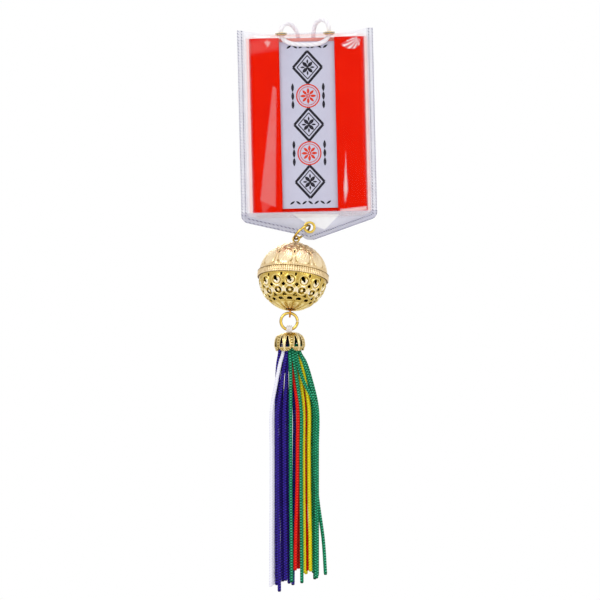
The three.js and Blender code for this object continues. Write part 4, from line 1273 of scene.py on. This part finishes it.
# The rows of grains towards the top: latitude in degrees, count, size and shift
GRAIN_ROWS = ((45, 22, 1.35, 0), (54, 22, 1.15, 0.5), (63, 11, 1.3, 0), (71, 11, 1.0, 0.5))
COLLAR_REACH = 2.6
RIM_LATITUDE = 0.39 * degree
TOP_POLE_HOLE = 1.2
BOTTOM_POLE_HOLE = 2.1
BAND_HEIGHT = 2.8
BAND_THICKNESS = 0.53
BAND_LIP = 0.3
BAND_RIBS = 96
RIB_STEPS = 8
RIB_DEPTH = 0.12
HEAD_OVERLAP = 0.5
HEAD_THICKNESS = 0.5
HEAD_GAP = 0.55
SHANK_RADIUS = 0.75
COLLAR_WIDTH = 0.35


def in_ball(points):
    """Points given about the ball's own centre and axis, in their place in the frame."""
    return points @ ball_turn.T + ball_centre


def column_place(turn, latitude, count, start, shift_share, row_latitude):
    """How far each point lies across and up from the nearest feature of a row."""
    pitch = TURN / count
    steps = (turn - start) / pitch - shift_share
    across = (steps - np.round(steps)) * pitch * np.cos(row_latitude) * BALL_RADIUS
    up = (latitude - row_latitude) * BALL_RADIUS
    return across, up


def flutes(turn):
    return FLUTE_DEPTH * wave(FLUTE_COUNT * turn / TURN)


def grain(turn, latitude, counts):
    """A fine, irregular relief between -1 and 1."""
    a, b, c, d = counts
    return np.sin(a * turn + b * latitude) * np.sin(d * latitude - c * turn)


def lower_pattern(turn, latitude):
    """The lower shell's relief in mm, its holes as a distance that is negative inside them, and its painted highlights.
    """

    def place(shift, row):
        return column_place(turn, latitude, COLUMN_COUNT, COLUMN_START, shift, row)

    # Round bosses, each pierced by a comma and ringed
    x, y = place(0, ROUND_LATITUDE)
    away = np.hypot(x, y)
    ring = bell(away - 2.25, 0.25)
    plate = smooth((1.75 - away) / 0.35)
    relief = 0.3 * ring - 0.28 * bell(away - 1.85, 0.16) + 0.22 * plate
    # A painted highlight crescent on each boss's lower side, and a fainter one on its ring
    painted_highlight = 1.1 * plate * smooth((0.9 - y + 0.4 * x) / 0.9) + 0.3 * ring
    holes = np.minimum(np.hypot(x + 0.6, (y - 0.8) * 0.9) - 0.86, np.hypot(x - 0.1, y + 0.15) - 0.56)
    # Small ovals cut out above them, and diamonds below
    x, y = place(0.36, OVAL_LATITUDE)
    holes = np.minimum(holes, np.hypot(x, y * 0.7) - 0.48)
    x, y = place(0.5, DIAMOND_LATITUDE)
    away = np.abs(x) + np.abs(y)
    holes = np.minimum(holes, (away - 0.95) / math.sqrt(2))
    relief += 0.15 * bell(away - 1.5, 0.4)
    # Plates with painted highlights, then knobs in rings that two arcs pierce, with painted highlights on knob and ring
    x, y = place(0, PLATE_LATITUDE)
    plate = smooth((1.5 - np.abs(x) * 1.1 + y * 0.7) / 0.4) * smooth((0.9 - y) / 0.3) * smooth((y + 1.8) / 0.3)
    painted_highlight += 0.45 * plate
    x, y = place(0, RING_LATITUDE)
    away = np.hypot(x, y)
    relief += 0.34 * bell(away - 1.9, 0.24) - 0.16 * smooth((1.75 - away) / 0.2) + 0.42 * bell(away, 0.55)
    painted_highlight += 1.3 * bell(away, 0.62) + 0.55 * bell(away - 1.9, 0.26)
    holes = np.minimum(holes, np.maximum(np.abs(away - 1.2) - 0.42, np.abs(y - 0.35 * x) - 0.85))
    # Wedges with painted highlights, and triangles and drops cut out below them
    x, y = place(0.5, WEDGE_LATITUDE)
    plate = smooth((1.25 - np.abs(x) - y * 0.5) / 0.3) * smooth((y + 1.0) / 0.3)
    relief += 0.16 * plate
    painted_highlight += 0.8 * plate
    x, y = place(0.5, TRIANGLE_LATITUDE)
    holes = np.minimum(holes, np.maximum(np.abs(x) * 1.1 + y * 0.75 - 0.78, -y - 0.7))
    x, y = place(0, DROP_LATITUDE)
    drop = np.maximum(np.hypot(x * 0.85, y) - 0.95, -y - 0.5)
    holes = np.minimum(holes, drop)
    relief += 0.25 * bell(drop - 0.35, 0.25)
    # Rays round the foot with painted highlights, flutes by the band, and a fine grain
    rays = smooth((RAY_LATITUDE - latitude) / (4 * degree)) * wave(COLUMN_COUNT * (turn - COLUMN_START) / TURN)
    near_band = smooth((latitude + 7.5 * degree) / (1.5 * degree))
    fine = 0.045 * grain(turn, latitude, LOWER_GRAIN)
    relief += 0.3 * rays + flutes(turn) * near_band + fine * (1 - near_band)
    painted_highlight += 0.4 * rays
    return relief, holes, painted_highlight


def upper_pattern(turn, latitude):
    """The upper shell's relief, holes and painted highlights: petals over a fluted foot, and leaves towards the top."""

    def place(shift, row, count=PETAL_COUNT):
        return column_place(turn, latitude, count, PETAL_START, shift, row)

    x, y = place(0, PETAL_LATITUDE)
    oval = np.hypot(x / 3.35, y / 4.3)
    petal = smooth((1 - oval) / 0.25)
    relief = 0.16 * petal - 0.1 * bell((oval - 1.0) * 3.3, 0.3) + 0.08 * bell((oval - 0.88) * 3.3, 0.28)
    relief += 0.05 * petal * np.sin(x * 5.3 + 2 * np.sin(y * 2.1)) * np.sin(y * 4.1 + turn * 9)
    painted_highlight = 0.42 * petal
    x, y = place(0.5, LEAF_LATITUDE)
    holes = np.maximum(np.hypot(x + 0.9, y) - 1.3, np.hypot(x - 0.7, y) - 1.0)
    relief += 0.2 * bell(np.hypot(x * 1.2, y * 0.8) - 1.3, 0.35)
    x, y = place(0.45, DOT_LATITUDE)
    holes = np.minimum(holes, np.hypot(x, y) - 0.42)
    x, y = place(0.5, SPEAR_LATITUDE)
    spear = 0.2 * smooth((1 - np.hypot(x / 0.75, y / 3.2)) / 0.4)
    relief += spear
    painted_highlight += spear
    high = smooth((latitude - 40 * degree) / (4 * degree))
    for row, count, size, shift in GRAIN_ROWS:
        x, y = place(shift, row * degree, count)
        grains = smooth((1 - np.hypot(x / (size * 0.75), y / size)) / 0.5) * high
        relief += 0.18 * grains
        painted_highlight += 0.25 * grains
    relief -= 0.04 * high
    near_band = smooth((12 * degree - latitude) / (2.5 * degree))
    relief = relief * (1 - near_band) + flutes(turn) * near_band
    collar = 0.4 * bell((QUARTER - latitude) * BALL_RADIUS - COLLAR_REACH, 0.5)
    return relief + collar + 0.05 * grain(turn, latitude, UPPER_GRAIN), holes, painted_highlight + collar


def make_shell(word, pattern, side, pole_hole, finish):
    """A pierced shell, the upper one on side 1 and the lower one on side -1."""
    columns = int(TURN * BALL_RADIUS / SHELL_STEP)
    last = side * math.acos(pole_hole / BALL_RADIUS)
    rows = int(abs(last) * BALL_RADIUS / SHELL_STEP)
    latitude, turn = np.meshgrid(np.linspace(side * RIM_LATITUDE, last, rows), circle(columns), indexing="ij")
    for _ in range(2):
        scales = (BALL_RADIUS, np.maximum(np.cos(latitude), 0.05) * BALL_RADIUS)
        latitude, turn = onto_rims(
            lambda up, across: pattern(across, up)[1],
            latitude, turn, scales, small=1e-4, least=0.2, reach=SHELL_STEP * SHELL_RIM_REACH, held=[0, -1])
    relief, holes, painted_highlight = pattern(turn, latitude)
    holes = np.where(np.abs(holes) < SHELL_STEP * RIM_SNAP, 0, holes)
    # Painted light: raised relief and painted highlights lighten, and recesses darken as painted shade
    rough = np.clip((relief + 0.3) / 0.75, 0, 1)
    height = np.clip(0.28 + 0.3 * rough + 0.42 * np.clip(painted_highlight, 0, 1), 0, 1)
    height = np.where(relief < -0.05, height - 0.25, height)
    outer, inner = (
        in_ball(about_z(radius * np.cos(latitude), turn, radius * np.sin(latitude)))
        for radius in (BALL_RADIUS + np.clip(relief - 0.1, -0.35, 0.32), BALL_RADIUS - BALL_WALL)
    )
    name = word + "_shell"
    piece = pierced_piece(name, outer, inner, holes, height, 0, finish, "ball", "ball_" + name)
    # The inner faces take the dark brass, which is partly painted shade
    piece.data.materials.append(shaded_raw_brass[0])
    centre = Vector(metres(ball_centre))
    limit = (BALL_RADIUS - BALL_WALL * 0.9) * MM
    for polygon in piece.data.polygons:
        polygon.material_index = int((polygon.center - centre).length < limit)


def make_band():
    """The crimped band: fine ribs between two lips."""
    segments = BAND_RIBS * RIB_STEPS
    half = BAND_HEIGHT / 2
    inner = BALL_RADIUS + CLOSE_GAP
    outer = inner + BAND_THICKNESS
    low = [
        [inner, -half], [outer - BAND_LIP, -half], [outer, -half + BAND_LIP * 0.6], [outer - 0.08, -half + 0.5],
        [outer - 0.12, -half + 0.7], [outer, -half + 0.95],
    ]
    radius, z = np.array(low + [[r, -level] for r, level in reversed(low)]).T
    ribbed = np.array([0, 0, 0.4, 1, 1, 1, 1, 1, 1, 0.4, 0, 0])
    turn = circle(segments)[:, None]
    dip = (1 - wave(BAND_RIBS * turn / TURN)) * ribbed
    points = in_ball(about_z(radius - RIB_DEPTH * dip, turn, z))
    # Painted shade in the ribs' grooves
    height = 0.64 - 0.42 * dip
    # Painted shade darkens the lips' edges, most of all on the upper side
    height[:, 8] *= 0.45
    height[:, [0, 1, 9, 10, 11]] = 0
    faces = grid(segments, len(radius), True, True)
    make_piece("ball_band_ribs", points, faces, upper_lit_gold, "ball", ["ball_band"], {"height": height})


def make_eye(word, side, reach, hole, wire, pole_hole, across, finish):
    """A wire eye on a shank that a head holds inside the shell."""
    path = ring_line((0, 0, side * reach), hole + wire / 2, circle(72), across, (0, 0, 1))
    ring = sweep(path, np.full((len(path), WIRE_SIDES), wire / 2), True)
    low = BALL_RADIUS - BALL_WALL - HEAD_GAP
    head = pole_hole + HEAD_OVERLAP
    collar = SHANK_RADIUS + COLLAR_WIDTH
    neck = reach - hole - wire / 2
    profile = [
        [0.01, low - HEAD_THICKNESS], [head, low - HEAD_THICKNESS], [head, low],
        [SHANK_RADIUS, low + 0.05], [SHANK_RADIUS, BALL_RADIUS - 0.1],
        [collar, BALL_RADIUS + 0.1], [collar, BALL_RADIUS + 0.3],
        [SHANK_RADIUS * 0.8, neck], [0.01, neck],
    ]
    shank = turned_points([[radius, side * z] for radius, z in profile], 40)
    points, faces = merged([ring, shank], True)
    heights = np.repeat((0.5, 0.4), (ring[..., 0].size, shank[..., 0].size))
    name = word + "_eye"
    make_piece(name, in_ball(points), faces, finish, "ball", ["ball_" + name], {"height": heights}, 50 * degree)


def make_ball():
    make_shell("upper", upper_pattern, 1, TOP_POLE_HOLE, upper_lit_gold)
    make_shell("lower", lower_pattern, -1, BOTTOM_POLE_HOLE, lower_shaded_gold)
    make_band()
    x, y, _ = ball_turn.T @ (1, 0, 0)
    level = np.array([x, y, 0]) / np.hypot(x, y)
    make_eye("top", 1, top_eye_reach, TOP_EYE_HOLE, TOP_EYE_WIRE, TOP_POLE_HOLE, level, gold)
    make_eye("bottom", -1, bottom_eye_reach, BOTTOM_EYE_HOLE, BOTTOM_EYE_WIRE, BOTTOM_POLE_HOLE, (0, 1, 0), amber_gold)


# The small bell inside the ball, and its pellet

BELL_RADIUS = 6
BELL_WALL = 0.6
BELL_PLAY = 1.2
BELL_SEAM_DEPTH = 0.12
BELL_SEAM_HALF = 0.3
BELL_SLOT_WIDTH = 1.4
BELL_SLOT_END = 1.3
BELL_POLE = QUARTER - 0.002
PELLET_RADIUS = 1.6
PELLET_SHRINK = 0.97
PELLET_FACETS = 24
bell_place = ball_centre - (0, 0, BALL_RADIUS - BALL_WALL - BELL_PLAY - BELL_RADIUS)
bell_inner_radius = BELL_RADIUS - BELL_WALL


def make_inner_bell():
    """A small jingle bell with a seam round it and a slot across its foot."""
    outside = arc(0, 0, BELL_RADIUS, -BELL_POLE, BELL_POLE, 60)
    outside = [[r if abs(z) > BELL_SEAM_HALF else r - BELL_SEAM_DEPTH, z] for r, z in outside]
    within = arc(0, 0, bell_inner_radius, BELL_POLE, -BELL_POLE, 40)
    profile = outside + within
    piece = turned_piece("jingle_bell", profile, 96, bell_place, gold, "inner_bell", ["bell_body"], height=0.45)
    drop = BELL_RADIUS + 1 - BELL_SLOT_END
    size = Matrix.Diagonal((*metres((BELL_RADIUS * 2 + 1, BELL_SLOT_WIDTH, drop)), 1))
    bpy.ops.mesh.primitive_cube_add(size=1)
    cut(piece, Matrix.Translation(metres(bell_place - (0, 0, BELL_SLOT_END + drop / 2))) @ size)


def make_pellet():
    """A slightly uneven ball, with a row of points for each angle and a column for each level."""
    turns = np.linspace(0.001, TURN / 2 - 0.001, PELLET_FACETS)
    angles = circle(PELLET_FACETS)[:, None]
    radius = PELLET_RADIUS * (1 + 0.02 * np.sin(5 * angles) * np.sin(3 * turns)) * PELLET_SHRINK
    level = radius * np.sin(turns)
    points = joined(level * np.cos(angles), level * np.sin(angles), radius * np.cos(turns))
    place = bell_place + (0, 0, PELLET_RADIUS + GAP - bell_inner_radius)
    count = PELLET_FACETS**2
    ends = [list(range(first, count, PELLET_FACETS)) for first in (0, PELLET_FACETS - 1)]
    faces = grid(PELLET_FACETS, PELLET_FACETS, True, False).tolist() + ends
    height = np.full(count, 0.5)
    make_piece("pellet_ball", points + place, faces, shaded_raw_brass, "pellet", ["bell_pellet"], {"height": height})


make_ball()
make_inner_bell()
make_pellet()

# Tassel

CAP_PLAY = 0.37
CAP_HEIGHT = 8.3
CAP_RADIUS = 6.55
CAP_WALL = 0.5
CAP_HOLE = 1.6
# The cap's outline under its hole: shares of its radius and of its height
CAP_SHARES = ((0.64, 0.06), (0.88, 0.22), (0.985, 0.5), (1, 0.8), (0.985, 1))
CAP_PETALS = 6
CAP_PETAL = TURN / CAP_PETALS
CAP_NOTCH = 9 * degree
CAP_SLOT_ANGLE = 13 * degree
CAP_STEP = 0.16
CAP_RIM_REACH = 0.65
SLOT_HALF_LENGTH = 2.5
SLOT_MIDDLE_SHARE = 0.6
SLOT_CORNER = 0.3
BINDING_HEIGHT = 2.3
BINDING_DROP = 2.5
BINDING_SHARES = (0.6, 0.8)
BINDING_TURNS = 7
BINDING_GROOVE = 0.12
THREAD_DIAMETER = 0.9
THREAD = {"diameter": THREAD_DIAMETER, "plies": 2, "lay": 1.6, "relief": 0.04, "sides": 16,
          "finish": white_thread, "body": "tassel"}
THREAD_STEP = 0.15
THREAD_PLAY = 0.35
THREAD_SPREAD = 0.75
THREAD_SIDE_SHARE = 0.85
THREAD_WRAP_SHARE = 0.45
tassel_x, tassel_y = lower_ring_centre[:2]
ring_foot = lower_ring_centre[2] - LOWER_RING_RADIUS
cap_top = ring_foot - LOWER_RING_WIRE / 2 - CAP_PLAY
binding_top = cap_top - BINDING_DROP
strand_top = binding_top - BINDING_HEIGHT - GAP
tassel_place = np.array([tassel_x, tassel_y, 0])


def make_cap():
    """Six petals, each with two slots, roped rims, and a beaded rib between them."""
    outline = [(CAP_HOLE, 0, 0), *((CAP_RADIUS * r, 0, -CAP_HEIGHT * d) for r, d in CAP_SHARES)]
    line = curve_through(outline, CAP_STEP)
    length = lengths_along(line)
    whole = length[-1]
    columns = int(TURN * CAP_RADIUS / CAP_STEP / CAP_PETALS) * CAP_PETALS
    share, turn = np.meshgrid(np.linspace(0, 1, len(line)), circle(columns), indexing="ij")
    petal = (turn - CAP_NOTCH) / CAP_PETAL
    within = (petal - np.floor(petal) - 0.5) * 2
    scallop = 1 - 0.16 * np.abs(within) ** 4 - 0.02
    down = share * scallop
    level = np.interp(down * whole, length, line[:, 0])

    def slots(down, within):
        """How far each point lies across its petal and down the cap, and how far it is from the nearest slot."""
        across = within * (CAP_PETAL / 2) * level
        fall = down * whole
        from_middle = fall - whole * SLOT_MIDDLE_SHARE
        half = 0.34 + 0.62 * smooth((from_middle + SLOT_HALF_LENGTH) / (2 * SLOT_HALF_LENGTH))
        beside = np.abs(np.abs(across) - CAP_SLOT_ANGLE * level) - half
        beyond = np.abs(from_middle) - SLOT_HALF_LENGTH
        corner = np.hypot(np.maximum(beside + SLOT_CORNER, 0), np.maximum(beyond + SLOT_CORNER, 0)) - SLOT_CORNER
        return across, fall, np.maximum(corner, np.maximum(beside, beyond))

    for _ in range(2):
        down, within = onto_rims(
            lambda *at: slots(*at)[2],
            down, within, (whole, CAP_PETAL / 2 * level), small=1e-3, least=0.3, reach=CAP_STEP * CAP_RIM_REACH)
    across, fall, slot = slots(down, within)
    turn = (np.floor(petal) + within / 2 + 0.5) * CAP_PETAL + CAP_NOTCH
    radius, z = (np.interp(down * whole, length, line[:, k]) for k in (0, 2))
    edge_distance = (scallop - down) * whole
    rim_twist = wave(across / 1.05 + edge_distance / 1.2)
    rim = bell(edge_distance - 0.4, 0.42)
    seam = bell((1 - np.abs(within)) * (CAP_PETAL / 2) * radius, 0.55)
    beads = 0.5 + 0.5 * np.cos(TURN * fall / 1.15) * np.cos(TURN * across / 1.5)
    lip = bell(slot - 0.15, 0.16)
    rib = bell(across, 0.3)
    top_rim = bell(fall - 0.3, 0.4)
    relief = 0.3 * np.cos(within * QUARTER) * smooth(fall / 2) + 0.14 * lip + 0.12 * rib + 0.12 * top_rim
    relief += rim * (0.12 + 0.16 * rim_twist) + seam * (0.16 * beads - 0.1)
    # Painted highlights on the ribs, slot lips, top rim and roped rim, and painted shade between the twists and the
    # beads
    height = 0.36 + 0.32 * rib + 0.24 * lip + 0.15 * top_rim
    height += rim * (0.6 * rim_twist - 0.3) + seam * (0.8 * beads - 0.4)
    radius -= 0.75 * smooth((down - 0.72) / 0.28) ** 2 + 0.35 * smooth((0.3 - np.abs(down - 0.26)) / 0.3)
    inner_radius = np.maximum(radius - CAP_WALL, CAP_HOLE - 0.2)
    outer = about_z(radius + relief - 0.32, turn, z)
    inner = about_z(inner_radius, turn, z - 0.12 * smooth(1 - down * 3))
    place = tassel_place + (0, 0, cap_top)
    slot = np.where(np.abs(slot) < CAP_STEP * RIM_SNAP, 0, slot)
    height = np.clip(height, 0, 1)
    pierced_piece("petalled_cap", outer + place, inner + place, slot, height, 0.1, cap_gold, "tassel", "tassel_cap")


def make_thread_loops():
    """Three turns of thread over the ring's foot, which draw together in the cap's hole."""
    clear = LOWER_RING_WIRE / 2 + THREAD_PLAY + THREAD_DIAMETER / 2
    foot = CAP_HOLE - THREAD_DIAMETER / 2 - GAP
    wide = tassel_y - clear * THREAD_SIDE_SHARE
    wrap = clear * THREAD_WRAP_SHARE
    for turn, word in ((0, "middle"), (-1, "left"), (1, "right")):
        over = tassel_x + turn * THREAD_SPREAD
        under = tassel_x + turn * THREAD_SPREAD / 2
        narrow = tassel_y - foot * (1 - abs(turn) * 0.2)
        front = [
            (under, narrow, binding_top + GAP),
            (under, narrow, cap_top),
            (over, wide, ring_foot - wrap),
            (over, wide, ring_foot + wrap),
        ]
        back = [(x, 2 * tassel_y - y, z) for x, y, z in reversed(front)]
        path = curve_through([*front, (over, tassel_y, ring_foot + clear), *back], THREAD_STEP)
        laid_tube("thread_loop_" + word, path, [] if turn else ["tassel_thread"], **THREAD)


def make_binding():
    """Thread wound round the strands' heads, inside the cap."""
    top, low = (CAP_RADIUS * share for share in BINDING_SHARES)
    share = np.linspace(0, 1, BINDING_TURNS * 8 + 1)
    wound = top + (low - top) * share - BINDING_GROOVE * (1 - wave(BINDING_TURNS * share))
    profile = [[r, binding_top - BINDING_HEIGHT * s] for r, s in ((0.01, 0), *zip(wound, share), (0.01, 1))]
    turned_piece("wound_binding", profile, 72, tassel_place, binding_thread, "tassel", ["tassel_binding"])


STRAND_DIAMETER = 1.36
STRAND_SIDES = 12
STRAND_STEP = 0.26
STRAND_PITCH = 1.15
STRAND_BUMPS = 2
STRAND_SWELL = 0.08
STRAND_RELIEF = 0.1
STRAND_SHIFT = 0.37
LAYER_COUNT = 4
COLUMN_PITCH = (0.71, 1.63)
LAYER_PITCH = (1.46, 2.2)
STRAND_LENGTH = 100
STRAND_SWAY = 1.65
STRAND_LEAN_SHARE = 0.0237
OPEN_SHARES = (0.035, 0.26)
DRIFT_SHARES = (0.5, 1)
STRAND_SHARES = (0, 0.035, 0.08, 0.16, 0.28, 0.45, 0.65, 0.85, 1)
# Colour, [column, layer] under the cap and lower down, length as a share, drift in columns, and how late it opens
STRANDS = [
    ("purple", (-6, 0.1), (-4.5, 1.2), 1.03, 0.1, 0.7),
    ("white", (-4, 0), (-5.8, 0), 1.034, -0.15, 0.7),
    ("purple", (-2, 0), (-4.15, 0), 1.056, 0.45, 0.7),
    ("green", (0, 0), (-0.75, 0), 1.018, 0.25, 0.7),
    ("green", (2, 0), (2, 0), 1.022, 0.2, 1.1),
    ("green", (4, 0), (6.05, 0), 1.003, 0, 1.5),
    ("green", (6, 0.2), (5.6, 0.75), 0.99, 2.8, 0.85),
    ("white", (-5, 1), (-5.1, 2), 1.03, -0.2, 0.7),
    ("purple", (-3, 1), (-3.3, 1), 1.014, 0.5, 0.7),
    ("purple", (-1, 1), (-2.4, 0), 1.01, 0.35, 0.7),
    ("scarlet", (1, 1), (1.05, 0), 0.967, -0.6, 1.4),
    ("yellow", (3, 1), (2.6, 1), 0.98, 0.25, 0.7),
    ("yellow", (5, 1), (4.1, 1), 0.975, 0.35, 0.85),
    ("purple", (-2, 2), (-1.55, 2), 1.026, 0.4, 0.7),
    ("white", (-4, 2), (-2.95, 2), 1.018, 0, 0.7),
    ("purple", (0, 2), (0.2, 1), 1.031, -0.35, 0.7),
    ("green", (4, 2), (4.95, 2), 0.983, 0.3, 0.7),
    ("scarlet", (2, 2), (3, 2), 0.972, 0.6, 0.7),
    ("green", (6, 2), (6.25, 2), 0.996, 0, 0.7),
    ("purple", (-3, 3), (-4.4, 3), 1.006, 0, 0.7),
    ("scarlet", (-1, 3), (1.25, 3), 0.965, 0.05, 0.7),
    ("white", (1, 3), (2.2, 3), 1.01, 0, 0.7),
    ("yellow", (3, 3), (3.3, 3), 0.989, 0, 0.7),
    ("green", (5, 3), (5.6, 3), 1.012, 0, 0.7),
]


def blend(first, second, share):
    return first + (second - first) * share


def strand_route(top, low, length_share, drift, late):
    """Points down one strand, from its close place under the cap to its open place lower down."""
    route = []
    for share in STRAND_SHARES:
        opening = (share - OPEN_SHARES[0]) / (OPEN_SHARES[1] - OPEN_SHARES[0])
        opened = min(max(opening, 0), 1) ** late
        drifted = float(smooth((share - DRIFT_SHARES[0]) / (DRIFT_SHARES[1] - DRIFT_SHARES[0])))
        settled = math.sqrt(opened) if low[1] > top[1] else opened
        column = blend(top[0], low[0], opened) + drift * drifted
        layer = blend(top[1], low[1], settled) - (LAYER_COUNT - 1) / 2
        drop = STRAND_LENGTH * length_share * share
        across = column * blend(*COLUMN_PITCH, opened) + STRAND_SWAY * opened - STRAND_LEAN_SHARE * drop
        route.append((tassel_x + across, tassel_y + layer * blend(*LAYER_PITCH, opened), strand_top - drop))
    return route


def make_strands():
    around = np.arange(STRAND_SIDES) / STRAND_SIDES
    for i, (shade, *facts) in enumerate(STRANDS):
        route = strand_route(*facts)
        path = curve_through(route, STRAND_STEP)
        along = lengths_along(path)
        length = along[-1]
        braid = np.cos(TURN * along / STRAND_PITCH)[:, None]
        height = 0.5 + 0.5 * np.cos(TURN * (STRAND_BUMPS * around + i * STRAND_SHIFT)) * braid
        radii = STRAND_DIAMETER / 2 + STRAND_SWELL + STRAND_RELIEF * (height - 0.5)
        radii = radii * (0.72 + 0.28 * smooth((length - along) / 0.5))[:, None]
        height = height * (0.35 + 0.65 * smooth((length - along) / 0.9))[:, None]
        word = f"{i + 1:02d}_{shade}"
        piece = tube_piece("braid_" + word, path, radii, strand_threads[shade], "tassel", ["strand_" + word], height)


make_cap()
make_thread_loops()
make_binding()
make_strands()

scene.view_settings.view_transform = "Standard"
